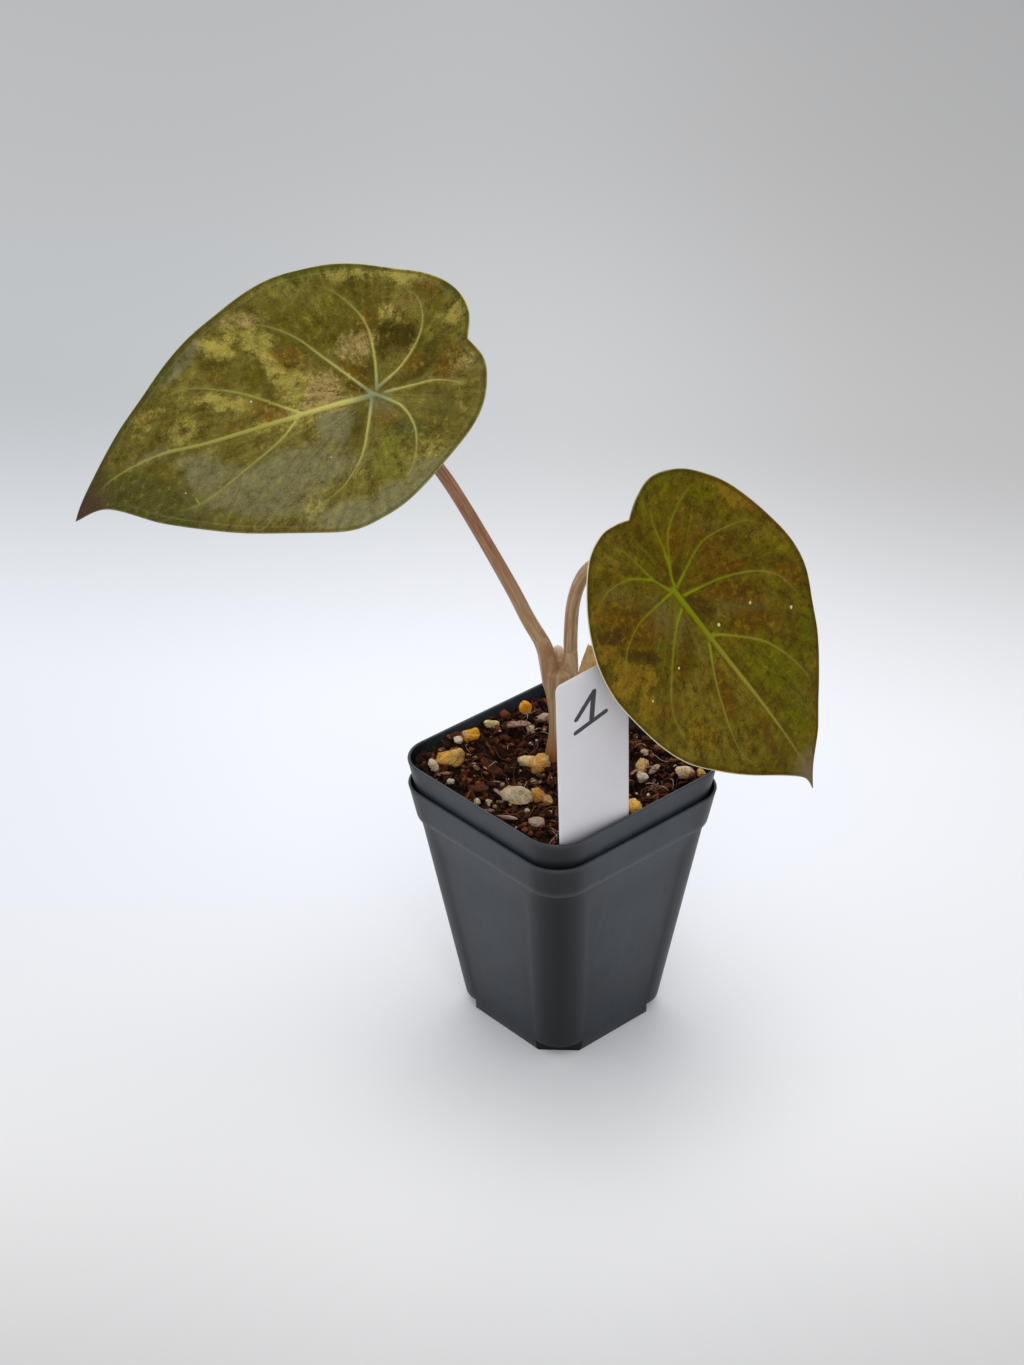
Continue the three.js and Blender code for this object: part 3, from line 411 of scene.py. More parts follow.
def net_table(leaf, margin, seed):
    """Faint side veins that leave each rib in turn on both sides and bend towards the margin."""
    rng = random.Random(seed)
    lines = []
    for points in [leaf["midrib"], *leaf["veins"]]:
        line = even_points(curve_points(points, 160), NET_ROOT_STEP)
        length = NET_ROOT_STEP * (len(line) - 1)
        place = 8.0 + 3 * rng.random()
        turn = 1
        while place < length - 2:
            at = min(int(place / NET_ROOT_STEP), len(line) - 2)
            ahead = line[at + 1] - line[at]
            aim = math.atan2(ahead[1], ahead[0]) + turn * math.radians(rng.uniform(50, 68))
            trail = [line[at]]
            for _ in range(int(rng.uniform(9, 17) / NET_STEP)):
                aim -= turn * math.radians(rng.uniform(1.0, 4.2))
                trail.append(trail[-1] + NET_STEP * np.array([math.cos(aim), math.sin(aim)]))
            lines.append(np.array(trail))
            place += rng.uniform(4.5, 7.5)
            turn = -turn
    kept = []
    for line in lines:
        inside = rim_share(line, margin) < 0.93
        if inside[:6].all():
            kept.append(line[inside])
    return kept


class PointHeap:
    """Flat points that keep a least distance from each other."""

    def __init__(self):
        self.points = []
        self.cells = {}

    def add(self, points, gap):
        for p in points:
            cell = (int(math.floor(p[0])), int(math.floor(p[1])))
            near = False
            for i in (-1, 0, 1):
                for j in (-1, 0, 1):
                    for q in self.cells.get((cell[0] + i, cell[1] + j), ()):
                        if (p[0] - q[0]) ** 2 + (p[1] - q[1]) ** 2 < gap * gap:
                            near = True
            if not near:
                self.points.append((float(p[0]), float(p[1])))
                self.cells.setdefault(cell, []).append((float(p[0]), float(p[1])))


def inside_loop(points, loop):
    """Which of the flat points lie inside a closed loop."""
    inside = np.zeros(len(points), bool)
    x, y = points[:, 0], points[:, 1]
    for a, b in zip(loop, np.roll(loop, -1, axis=0)):
        if a[1] == b[1]:
            continue
        spans = (a[1] > y) != (b[1] > y)
        inside ^= spans & (x < (b[0] - a[0]) * (y - a[1]) / (b[1] - a[1]) + a[0])
    return inside


def blade_plan(margin, ribs, nets, spacing):
    """Triangles of the blade in its own plane, dense along the margin and along the ribs."""
    ring = np.concatenate([margin, margin[:1]])
    heap = PointHeap()
    heap.add(margin, 0.1)
    border = len(heap.points)

    def add_inside(row, from_rim, gap):
        row = row[inside_loop(row, margin)]
        heap.add(row[line_distance(row, ring)[0] > from_rim], gap)

    for depth in (0.35, 1.0):
        add_inside(margin + inward_of(margin) * depth, 0.8 * depth, 0.3)
    for rib in ribs:
        line, half = rib["line"], rib["width"] / 2
        share = 1 - (1 - rib["taper"]) * np.linspace(0, 1, len(line))[:, None]
        for offset in (0, -0.5, 0.5, -1, 1, -1.7, 1.7):
            add_inside(line + sideways(line) * offset * half * share, 0.5, 0.28)
    for line in nets:
        for offset, gap in ((0, 0.45), (-0.55, 0.42), (0.55, 0.42)):
            heap.add(line + sideways(line) * offset, gap)
    low, high = margin.min(0), margin.max(0)
    step = spacing * math.sqrt(3) / 2
    rows = []
    for j in range(int((high[1] - low[1]) / step) + 1):
        xs = np.arange(low[0] + (spacing / 2 if j % 2 else 0), high[0], spacing)
        rows.append(np.stack([xs, np.full(len(xs), low[1] + j * step)], axis=1))
    add_inside(np.concatenate(rows), 0.75, 0.62 * spacing)
    edges = [(i, (i + 1) % border) for i in range(border)]
    points = [Vector(p) for p in heap.points]
    coords, _, faces, *_ = delaunay_2d_cdt(points, edges, [], 1, 1e-6, False)
    plan = np.array([tuple(c) for c in coords])
    faces = np.array([tuple(f) for f in faces])
    kept = inside_loop(plan[faces].mean(axis=1), plan[:border])
    return plan, faces[kept], border


def camera_axes():
    """The photograph's own right, up and ahead."""
    turn, down, roll = (math.radians(v) for v in CAMERA_ANGLES)
    level = math.cos(down)
    ahead = np.array([-math.sin(turn) * level, math.cos(turn) * level, -math.sin(down)])
    right = np.array([math.cos(turn), math.sin(turn), 0.0])
    up = np.cross(right, ahead)
    across = right * math.cos(roll) + up * math.sin(roll)
    return across, up * math.cos(roll) - right * math.sin(roll), ahead


def on_blade(leaf, pixels):
    """Where the lines of sight through pixels of the photograph meet a blade, in its own plane."""
    right, up, ahead = camera_axes()
    focal = CAMERA_LENS / CAMERA_SENSOR * PHOTO_SIZE[1]
    x, y = ((pixels - np.array(PHOTO_SIZE) / 2) / focal).T[:, :, None]
    axes = np.array(leaf_axes(leaf))
    eye = axes @ (np.array(CAMERA_PLACE) - np.array(leaf["hub"]))
    sight = (ahead + x * right - y * up) @ axes.T
    reach = -eye[2] / sight[:, 2]
    for _ in range(25):
        flat = eye[:2] + reach[:, None] * sight[:, :2]
        reach -= (eye[2] + reach * sight[:, 2] - blade_bend(leaf, flat)) / sight[:, 2]
    return flat


def blotch_field(leaf, view, plan, blotches, warp):
    """Strength of soft-edged patches at each point, their outlines made wavy by the warp."""
    left, top, zoom = view
    field = np.zeros(len(plan))
    for x, y, a, b, turn, strength in blotches:
        c, d = math.cos(math.radians(turn)), math.sin(math.radians(turn))
        ends = np.array([(x, y), (x + a * c, y + a * d), (x - b * d, y + b * c)])
        middle, first, second = on_blade(leaf, ends / zoom + (left, top))
        spread = np.stack([first - middle, second - middle], axis=1)
        u, v = np.linalg.solve(spread, (plan + warp - middle).T)
        field = np.maximum(field, strength * (1 - smooth((np.hypot(u, v) - 0.25) / 1.4)))
    return field


def rib_fields(plan, ribs):
    """Distance to the nearest rib, and how the ribs raise, lower and colour the blade."""
    nearest = np.full(len(plan), 1e9)
    raised, lowered, vein, halo = np.zeros((4, len(plan)))
    for index, rib in enumerate(ribs):
        away, share = line_distance(plan, rib["line"])
        nearest = np.minimum(nearest, away)
        left = 1 - (1 - rib["taper"]) * share
        half = rib["width"] / 2 * left
        end = smooth((1 - share) / 0.25)
        over = np.clip(1 - (away / (1.15 * half)) ** 2, 0, 1)
        raised = np.maximum(raised, rib["height"] * left * over ** 1.5 * end)
        under = np.clip(1 - (away / (1.25 * half + 0.2)) ** 2, 0, 1)
        lowered = np.maximum(lowered, rib["under"] * left * np.sqrt(under) * end)
        pale = 1 - smooth((away - 0.35 * half) / (0.55 * half + 0.12))
        faded = 1.0 - 0.4 * share ** 2 if index == 0 else 1.0 - 0.7 * share ** 1.2
        vein = np.maximum(vein, pale * faded * smooth((1 - share) / 0.2))
        halo = np.maximum(halo, np.exp(-((away / (1.2 + 1.3 * half)) ** 2)) * (1 - 0.7 * share))
    return nearest, raised, lowered, vein, halo


def net_field(plan, nets):
    """How strongly the faint side veins show at each point."""
    net = np.zeros(len(plan))
    for line in nets:
        away, share = line_distance(plan, line)
        net = np.maximum(net, np.exp(-((away / 0.42) ** 2)) * (1 - 0.8 * share))
    return net


def folded(plan, height, folds):
    """The blade's height with its folds sunk in, and how deep inside a fold each point lies."""
    crease = np.zeros(len(plan))
    for points, width, depth in folds:
        away, share = line_distance(plan, curve_points(points, 40))
        dip = np.exp(-((away / width) ** 2)) * smooth(share / 0.2) * smooth((1 - share) / 0.25)
        crease = np.maximum(crease, dip)
        height = height - depth * dip
    return height, crease


def blade_faces(faces, count, border):
    """The plan's triangles on both sides, and squares round the rim between them."""
    polygons = [tuple(int(v) for v in f) for f in faces]
    polygons += [tuple(count + int(v) for v in reversed(f)) for f in faces]
    for i in range(border):
        j = (i + 1) % border
        polygons.append((i, 2 * count + i, 2 * count + j, j))
        polygons.append((2 * count + i, count + i, count + j, 2 * count + j))
    return polygons


def leaf_mesh(name, leaf, view, blotches, folds, settings, seed):
    """A thin blade with rounded ribs on both faces, from one plan of triangles."""
    ribs = rib_table(leaf, settings)
    margin = margin_loop(leaf)
    nets = net_table(leaf, margin, seed)
    plan, faces, border = blade_plan(margin, ribs, nets, settings.grid / MM)
    count = len(plan)
    to_rib, raised, lowered, vein, halo = rib_fields(plan, ribs)
    net = net_field(plan, nets)
    to_rim = line_distance(plan, np.concatenate([margin, margin[:1]]))[0]
    to_rim[:border] = 0
    base, crease = folded(plan, blade_height(leaf, plan, margin, to_rib), folds)
    quilt = noise_at(plan, 6.0, 3.7 + seed) * 0.16 + noise_at(plan, 2.2, 8.1 + seed) * 0.05
    quilt *= smooth(to_rib / 3) * smooth(to_rim / 3)
    seam = 0.22 * np.exp(-(((to_rim - 2.4) / 0.5) ** 2))
    upper = base + raised + 0.10 * net + quilt - 0.10 * seam
    thick = 0.34 + 0.24 * smooth(to_rim / 2.5)
    lower = base - thick - lowered - 0.16 * net + quilt
    lower -= 0.5 * np.exp(-(plan ** 2).sum(1) / (2 * 2.0 ** 2))
    along, across, normal = leaf_axes(leaf)
    origin = np.array(leaf["hub"], float)

    def place(flat, height):
        return origin + flat[:, :1] * along + flat[:, 1:2] * across + height[:, None] * normal

    rim = place(plan[:border] - inward_of(margin) * 0.1, (upper[:border] + lower[:border]) / 2)
    verts = np.concatenate([place(plan, upper), place(plan, lower), rim])
    warp = np.stack([
        1.5 * noise_at(plan, 5.0, wide + seed) + 0.7 * noise_at(plan, 1.8, fine + seed)
        for wide, fine in ((11.3, 2.9), (31.9, 6.3))
    ], axis=1)
    fields = {key: blotch_field(leaf, view, plan, rows, warp) for key, rows in blotches.items()}
    fields.update(vein=vein, halo=halo, net=net, rim=to_rim, crease=crease)
    fields["tipward"] = np.linalg.norm(plan - np.array(leaf["tip"]), axis=1)
    whole = {key: np.concatenate([v, v, v[:border]]) for key, v in fields.items()}
    whole["under"] = np.concatenate([np.zeros(count), np.ones(count), np.full(border, 0.5)])
    flat = np.concatenate([plan, plan, plan[:border]])
    reach = np.linalg.norm(flat, axis=1)[:, None]
    vectors = {
        "leaf_place": np.concatenate([flat, np.zeros((len(flat), 1))], axis=1),
        "leaf_streak": np.concatenate([flat / (reach + 0.5) * 14, 3.2 * np.log(reach + 4)], axis=1),
    }
    polygons = blade_faces(faces, count, border)
    return new_piece(name, verts, polygons, numbers=whole, vectors=vectors)


def new_object(name, data):
    """An object in the scene that holds a mesh, a light or a camera."""
    thing = bpy.data.objects.new(name, data)
    bpy.context.scene.collection.objects.link(thing)
    return thing


def add_fields(mesh, numbers=None, vectors=None, colours=None):
    """Point attributes of a mesh, which its material reads."""
    for fields, kind, part in (
        (numbers, "FLOAT", "value"), (vectors, "FLOAT_VECTOR", "vector"), (colours, "FLOAT_COLOR", "color"),
    ):
        for key, values in (fields or {}).items():
            layer = mesh.attributes.new(key, kind, "POINT")
            layer.data.foreach_set(part, np.asarray(values, np.float32).ravel())


def new_piece(name, verts, faces, shaded=True, **fields):
    """A mesh object from points in millimetres, with its point attributes."""
    mesh = bpy.data.meshes.new(name)
    mesh.from_pydata([tuple(float(c) * MM for c in v) for v in verts], [], faces)
    mesh.validate()
    add_fields(mesh, **fields)
    mesh.update()
    work = bmesh.new()
    work.from_mesh(mesh)
    bmesh.ops.recalc_face_normals(work, faces=work.faces)
    work.to_mesh(mesh)
    work.free()
    mesh.polygons.foreach_set("use_smooth", [shaded] * len(mesh.polygons))
    return new_object(name, mesh)


def dress(piece, material, slot, *nodes):
    """Gives a piece its finish and its body, and hides the solids that it stands for. The slot is not used.
    """
    piece.data.materials.clear()
    piece.data.materials.append(material)
    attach(piece, "root")
    if nodes:
        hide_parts(*nodes)
    return piece


def centripetal(points, steps):
    """Points at even steps along the smooth curve that the solid stalks follow."""
    stations = [np.array(p, float) for p in points]
    dense = []
    for i in range(len(stations) - 1):
        p1, p2 = stations[i], stations[i + 1]
        p0 = stations[i - 1] if i > 0 else 2 * p1 - p2
        p3 = stations[i + 2] if i + 2 < len(stations) else 2 * p2 - p1
        spans = ((p0, p1), (p1, p2), (p2, p3))
        d0, d1, d2 = (max(np.linalg.norm(b - a) ** 0.5, 1e-4) for a, b in spans)
        t1 = ((p1 - p0) / d0 - (p2 - p0) / (d0 + d1) + (p2 - p1) / d1) * d1
        t2 = ((p2 - p1) / d1 - (p3 - p1) / (d1 + d2) + (p3 - p2) / d2) * d1
        c2, c3 = -3 * p1 + 3 * p2 - 2 * t1 - t2, 2 * p1 - 2 * p2 + t1 + t2
        for k in np.linspace(0, 1, 40, endpoint=False):
            dense.append(p1 + t1 * k + c2 * k * k + c3 * k ** 3)
    dense.append(stations[-1])
    dense = np.array(dense)
    reach = np.concatenate([[0], np.cumsum(np.linalg.norm(np.diff(dense, axis=0), axis=1))])
    wanted = np.linspace(0, reach[-1], steps + 1)
    return np.stack([np.interp(wanted, reach, dense[:, i]) for i in range(3)], axis=1)


def ring_faces(rows, sides, capped=True):
    """Faces between rings of points, and over both ends where it is capped."""
    faces = []
    for i in range(rows - 1):
        for j in range(sides):
            a, b = i * sides + j, i * sides + (j + 1) % sides
            faces.append((a, b, b + sides, a + sides))
    if capped:
        faces.append(tuple(reversed(range(sides))))
        faces.append(tuple((rows - 1) * sides + j for j in range(sides)))
    return faces


def sheet_border(rows, columns):
    """The points round a grid of squares, in order."""
    last, width = rows - 1, columns + 1
    border = list(range(width)) + [i * width + columns for i in range(1, rows)]
    border += [last * width + k for k in range(columns - 1, -1, -1)]
    return border + [i * width for i in range(last - 1, 0, -1)]


def sheet_faces(rows, columns):
    """Faces of a thin sheet: a grid of squares on each side, joined round the border."""
    width, block = columns + 1, rows * (columns + 1)
    faces = []
    for i in range(rows - 1):
        for k in range(columns):
            a = i * width + k
            faces.append((a, a + 1, a + width + 1, a + width))
            faces.append((block + a, block + a + width, block + a + width + 1, block + a + 1))
    border = sheet_border(rows, columns)
    for a, b in zip(border, border[1:] + border[:1]):
        faces.append((a, block + a, block + b, b))
    return faces


def tube(path, radii, sides, wave=None):
    """A closed tube with a radius at each point of its path. The wave varies it round and along."""
    verts, around, lengths = [], [], []
    side = None
    gone = 0.0
    for i, centre in enumerate(path):
        ahead = path[min(i + 1, len(path) - 1)] - path[max(i - 1, 0)]
        ahead = ahead / np.linalg.norm(ahead)
        if side is None:
            side = np.cross(ahead, [0.3, -0.8, 0.5])
        side = side - ahead * (side @ ahead)
        side = side / np.linalg.norm(side)
        other = np.cross(ahead, side)
        if i:
            gone += np.linalg.norm(path[i] - path[i - 1])
        for j in range(sides):
            angle = 2 * math.pi * j / sides
            radius = radii[i] * wave(angle, gone) if wave else radii[i]
            verts.append(centre + radius * (math.cos(angle) * side + math.sin(angle) * other))
            around.append((math.cos(angle), math.sin(angle), gone))
            lengths.append(i / (len(path) - 1))
    return verts, ring_faces(len(path), sides), around, lengths


def joined(parts):
    """One list of points and faces, and one of each attribute, from several shapes."""
    verts, faces, rows = [], [], []
    for part_verts, part_faces, *rest in parts:
        start = len(verts)
        verts.extend(part_verts)
        faces.extend(tuple(start + v for v in f) for f in part_faces)
        rows.append(rest)
    return verts, faces, [[x for r in rows for x in r[k]] for k in range(len(rows[0]))]


def srgb(text):
    """A colour written as six hex digits, as linear light."""
    rows = [int(text[i:i + 2], 16) / 255 for i in (0, 2, 4)]
    return (*[c / 12.92 if c <= 0.04045 else ((c + 0.055) / 1.055) ** 2.4 for c in rows], 1.0)


def put(tree, socket, value):
    """Links a wire to a socket, or gives the socket a fixed value or a colour in hex digits."""
    if isinstance(value, Wire):
        tree.links.new(value.socket, socket)
    else:
        socket.default_value = srgb(value) if isinstance(value, str) else value


class Wire:
    """An output of a material's nodes. Sums and products of wires add their Math nodes."""

    def __init__(self, tree, socket):
        self.tree = tree
        self.socket = socket

    def maths(self, operation, *values):
        node = self.tree.nodes.new("ShaderNodeMath")
        node.operation = operation
        for socket, value in zip(node.inputs, values):
            put(self.tree, socket, value)
        return Wire(self.tree, node.outputs[0])

    def __add__(self, other):
        return self.maths("ADD", self, other)

    def __radd__(self, other):
        return self.maths("ADD", other, self)

    def __sub__(self, other):
        return self.maths("SUBTRACT", self, other)

    def __rsub__(self, other):
        return self.maths("SUBTRACT", other, self)

    def __mul__(self, other):
        return self.maths("MULTIPLY", self, other)

    def __rmul__(self, other):
        return self.maths("MULTIPLY", other, self)

    def __truediv__(self, other):
        return self.maths("DIVIDE", self, other)

    def __rtruediv__(self, other):
        return self.maths("DIVIDE", other, self)

    def __pow__(self, other):
        return self.maths("POWER", self, other)

    def __rpow__(self, other):
        return self.maths("POWER", other, self)

    def most(self, other):
        return self.maths("MAXIMUM", self, other)

    def held(self, low=0.0, high=1.0):
        return self.maths("MINIMUM", self.most(low), high)

    def absolute(self):
        return self.maths("ABSOLUTE", self)

    def exponent(self):
        return self.maths("EXPONENT", self)


class Finish:
    """A procedural material: one Principled shader and the nodes that feed it."""

    def __init__(self, name, **constants):
        self.material = bpy.data.materials.new(name)
        self.material.use_nodes = True
        self.tree = self.material.node_tree
        self.shader = self.tree.nodes["Principled BSDF"]
        for key, value in constants.items():
            self.shader.inputs[key.replace("_", " ")].default_value = value

    def node(self, kind, settings=None, sockets=None, output=0):
        """Any node: its settings are set first, then its sockets, and the named output comes back."""
        node = self.tree.nodes.new(kind)
        for key, value in (settings or {}).items():
            if key == "stops":
                ramp = node.color_ramp
                while len(ramp.elements) < len(value):
                    ramp.elements.new(0.5)
                for element, (position, colour) in zip(ramp.elements, value):
                    element.position = position
                    element.color = colour
            else:
                setattr(node, key, value)
        for key, value in (sockets or {}).items():
            put(self.tree, node.inputs[key], value)
        return Wire(self.tree, node.outputs[output])

    def read(self, name, output="Fac"):
        return self.node("ShaderNodeAttribute", {"attribute_name": name}, output=output)

    def place(self):
        """Where a point lies on the piece, in millimetres."""
        spot = self.node("ShaderNodeTexCoord", output="Object")
        return self.node("ShaderNodeVectorMath", {"operation": "SCALE"}, {0: spot, "Scale": 1 / MM})

    def part(self, spot, index):
        """One number of a place: 0 for the first, 1 for the second and 2 for the third."""
        return self.node("ShaderNodeSeparateXYZ", {}, {0: spot}, index)

    def grey(self, shade):
        """A grey as light as the shade, to multiply a colour with."""
        return self.node("ShaderNodeCombineColor", {}, {0: shade, 1: shade, 2: shade})

    def noise(self, spot, size, detail=3.0, rough=0.55, distortion=0.0):
        sockets = {"Vector": spot, "Scale": 1 / size, "Detail": detail, "Roughness": rough}
        return self.node("ShaderNodeTexNoise", {}, {**sockets, "Distortion": distortion})

    def stripes(self, spot, factors, detail=3.0, rough=0.55):
        """Noise drawn out into stripes: the smaller a factor, the longer they are that way."""
        drawn = self.node("ShaderNodeVectorMath", {"operation": "MULTIPLY"}, {0: spot, 1: factors})
        return self.noise(drawn, 1.0, detail, rough)

    def cells(self, spot, size):
        """Distance from the middle of the nearest cell, with cells of about the given size."""
        return self.node("ShaderNodeTexVoronoi", {}, {"Vector": spot, "Scale": 1 / size}, "Distance")

    def step(self, value, low, high):
        """A soft step: 0 below low, 1 above high."""
        sockets = {"Value": value, "From Min": low, "From Max": high}
        return self.node("ShaderNodeMapRange", {"interpolation_type": "SMOOTHSTEP"}, sockets)

    def mix(self, share, first, second, blend="MIX"):
        settings = {"data_type": "RGBA", "blend_type": blend}
        return self.node("ShaderNodeMix", settings, {0: share, 6: first, 7: second}, 2)

    def bump(self, height, distance, strength=1.0):
        sockets = {"Height": height, "Distance": distance * MM, "Strength": strength}
        return self.node("ShaderNodeBump", {}, sockets)

    def into(self, **sockets):
        """Feeds the shader's sockets and gives back the finished material."""
        for key, value in sockets.items():
            put(self.tree, self.shader.inputs[key.replace("_", " ")], value)
        return self.material


# The skin's patterns: size in millimetres, then detail, roughness and distortion.
SKIN_PATTERNS = {
    "wide": (13.0, 3), "middle": (4.4, 5, 0.62), "small": (1.5, 4, 0.68), "fine": (0.5, 3, 0.72),
    "dots": (0.24, 2, 0.6), "sponge": (2.6, 6, 0.78, 0.2),
}


def mottled(f, colours, skin):
    """Two olives, ragged-edged blotches, flecks, fine light and dark grain and painted shade in the folds.
    The large blade's grey patches are a painted sheen.
    """
    middle, small, fine, streak = skin.middle - 0.5, skin.small - 0.5, skin.fine - 0.5, skin.streak - 0.5
    patches = f.step(skin.wide * 0.5 + skin.middle * 0.5, 0.4, 0.6)
    colour = f.mix(patches, colours["base"], colours["base_two"])
    ragged = small * 1.3 + middle * 1.5 + fine * 1.2 + streak * 1.6
    crisp = colours["crisp"]
    for key, low, high, strength in (
        ("grey", 0.0, 0.9, 0.9), ("olive", 0.05, 0.9, 0.9), ("dark", 0.05, 0.9, 0.9),
        ("green", 0.1, 0.9, 0.8), ("tan", crisp, 1.1 - crisp * 2, 0.9), ("brown", 0.1, 0.9, 0.9),
        ("umber", crisp, 0.85 - crisp, 0.9), ("pink", 0.1, 1.0, 0.75),
    ):
        field = f.read(key)
        loose = ragged * (0.35 if key == "grey" else 1.0)
        share = f.step(field + loose * f.step(field, 0.0, 0.3), low, high) * strength
        colour = f.mix(share, colour, colours[key])
    golden = f.step(f.read("brown"), 0.1, 0.6) * f.step(skin.sponge, 0.5, 0.6) * colours["gilding"]
    colour = f.mix(golden, colour, colours["gold"])
    colour = f.mix(f.step(skin.sponge, 0.52, 0.66) * colours["speckle"], colour, colours["fleck"])
    hollow = (1 - f.step(skin.sponge, 0.36, 0.48)) * colours["speckle"]
    colour = f.mix(hollow, colour, colours["mottle"])
    # Painted shade: the blade darkens inside its folds.
    colour = f.mix(f.read("crease") * 0.5, colour, colours["mottle"])
    grain = fine * 1.6 + (skin.dots - 0.5) * 1.4 + small * 1.1 + streak * 1.7
    # The painted sheen of the grey patches calms the grain under it.
    calm = 1 - f.read("grey").held() * 0.35
    grain = (grain + middle * colours["cloud"]) * calm
    return f.mix(1.0, colour, f.grey((grain + colours["lift"]).held(0.25, 2.2)), "MULTIPLY")


def ribbed(f, colours, skin, colour):
    """Pale ribs of another colour at the stalk's point, with a faint halo and side veins."""
    reach = f.node("ShaderNodeVectorMath", {"operation": "LENGTH"}, {0: skin.spot}, "Value")
    rib = f.mix(f.step(reach, 12.0, 34.0) * 0.85, colours["rib"], colours["rib_far"])
    rib = f.mix((1 - f.step(reach, 1.5, 9.0)) * colours["hub_share"], rib, colours["hub"])
    colour = f.mix(f.read("halo") * 0.1, colour, colours["halo"])
    colour = f.mix(f.read("net") * 0.06, colour, colours["rib"])
    return f.mix((f.read("vein") * (0.6 + 0.6 * skin.fine)).held(), colour, rib)


def rimmed(f, colours, pale, colour):
    """A dark line and a faint seam inside the margin, the pale margin itself and the tip."""
    rim, tip = f.read("rim"), f.read("tipward")
    line = f.step(rim, 0.25, 0.5) * (1 - f.step(rim, 0.7, 1.3)) * 0.6
    colour = f.mix(line, colour, colours["dark"])
    seam = (1 - f.step((rim - 2.0).absolute(), 0.1, 0.45)) * f.step(tip, 10.0, 30.0)
    colour = f.mix(seam * 0.16, colour, colours["seam"])
    colour = f.mix(pale, colour, colours["margin"])
    reach = colours["tip_reach"]
    return f.mix((1 - f.step(tip, reach * 0.25, reach)) * colours["tip_share"], colour, colours["tip"])


def marked(f, colours, skin, colour, specks, scratch, ring):
    """Pale specks, a green scratch and a faint ring."""
    for s, t, size in specks:
        away = ((skin.along - s) ** 2.0 + (skin.across - t) ** 2.0) ** 0.5
        away = away + (f.noise(skin.spot, 0.8, 2) - 0.5) * size
        colour = f.mix((1 - f.step(away, size * 0.5, size * 0.95)) * 0.8, colour, colours["speck"])
    if scratch:
        s, t, a, b, turn = scratch
        c, d = math.cos(math.radians(turn)), math.sin(math.radians(turn))
        u = ((skin.along - s) * c + (skin.across - t) * d) / a
        v = ((skin.across - t) * c - (skin.along - s) * d) / b
        colour = f.mix((1 - f.step(u * u + v * v, 0.5, 1.0)) * 0.8, colour, colours["scratch"])
    if ring:
        s, t, a, b = ring
        u, v = (skin.along - s) / a, (skin.across - t) / b
        off = ((u * u + v * v) ** 0.5 - 1.0).absolute()
        colour = f.mix((1 - f.step(off, 0.05, 0.2)) * 0.3, colour, colours["seam"])
    return colour


def underside(f, colours, skin, pale):
    """A plainer olive with paler ribs."""
    back = f.mix(f.step(skin.middle, 0.35, 0.65), colours["back"], colours["back_two"])
    back = f.mix((f.read("vein") * 0.9).held(), back, colours["back_rib"])
    back = f.mix(f.read("net") * 0.35, back, colours["back_rib"])
    return f.mix(pale, back, colours["margin"])


def leaf_finish(name, colours, settings, specks, scratch=None, ring=None):
    """Mottled olive or bronze skin with pale ribs, a thin pale margin and a darker underside."""
    f = Finish(name, Specular_IOR_Level=settings.gloss, IOR=1.42)
    spot = f.read("leaf_place", "Vector")
    skin = SimpleNamespace(spot=spot, along=f.part(spot, 0), across=f.part(spot, 1))
    for key, values in SKIN_PATTERNS.items():
        setattr(skin, key, f.noise(spot, *values))
    skin.streak = f.noise(f.read("leaf_streak", "Vector"), 1.0, 5, 0.65)
    pale = (1 - f.step(f.read("rim"), 0.0, 0.2)) * (0.9 - f.step(skin.across, -8, 6) * 0.65)
    colour = ribbed(f, colours, skin, mottled(f, colours, skin))
    colour = rimmed(f, colours, pale, colour)
    colour = marked(f, colours, skin, colour, specks, scratch, ring)
    under = f.step(f.read("under"), 0.6, 0.9)
    colour = f.mix(under, colour, underside(f, colours, skin, pale))
    rough = 0.4 + (skin.small - 0.5) * 0.25 + (skin.fine - 0.5) * 0.2 + under * 0.15
    relief = f.bump(skin.small * 0.35 + skin.fine * 0.35 + skin.dots * 0.2, 0.13, 0.8)
    return f.into(Base_Color=colour, Roughness=rough.held(0.2, 0.8), Normal=relief)


# Colours of the large blade; its grey is a painted sheen.
LARGE_COLOURS = {
    "lift": 1.03, "speckle": 0.5, "cloud": 0.7, "gold": "8c6e28", "gilding": 0.4, "crisp": 0.05,
    "base": "5c4f1a", "base_two": "6c6128", "mottle": "3c3208", "fleck": "8a7c34",
    "grey": "706b47", "green": "666420", "dark": "48461c", "olive": "574e12",
    "tan": "92833c", "pink": "9a8250", "brown": "5f4510", "umber": "342a04",
    "rib": "c0b862", "rib_far": "9c944a", "hub": "838a66", "hub_share": 1.0,
    "halo": "74752f", "seam": "86866a", "margin": "c8c8a0", "tip": "47302c",
    "tip_reach": 17.0, "tip_share": 0.85, "speck": "c9c9ae", "scratch": "6d9a1c",
    "back": "5a5a32", "back_two": "4d4630", "back_rib": "8f9450",
}
SMALL_COLOURS = {
    "lift": 1.13, "speckle": 0.55, "cloud": 0.9, "gold": "74520a", "gilding": 0.4, "crisp": 0.3,
    "base": "53430a", "base_two": "5e4f0c", "mottle": "382704", "fleck": "7a620e",
    "grey": "65562a", "green": "545206", "dark": "48340b", "olive": "655416",
    "tan": "705614", "pink": "7c6330", "brown": "563a0a", "umber": "42300c",
    "rib": "7c820a", "rib_far": "988c38", "hub": "768010", "hub_share": 0.5,
    "halo": "5c5208", "seam": "66622a", "margin": "dcd6ae", "tip": "756650",
    "tip_reach": 14.0, "tip_share": 0.75, "speck": "e0dc9a",
    "back": "56502c", "back_two": "4a3b28", "back_rib": "7f8a30",
}


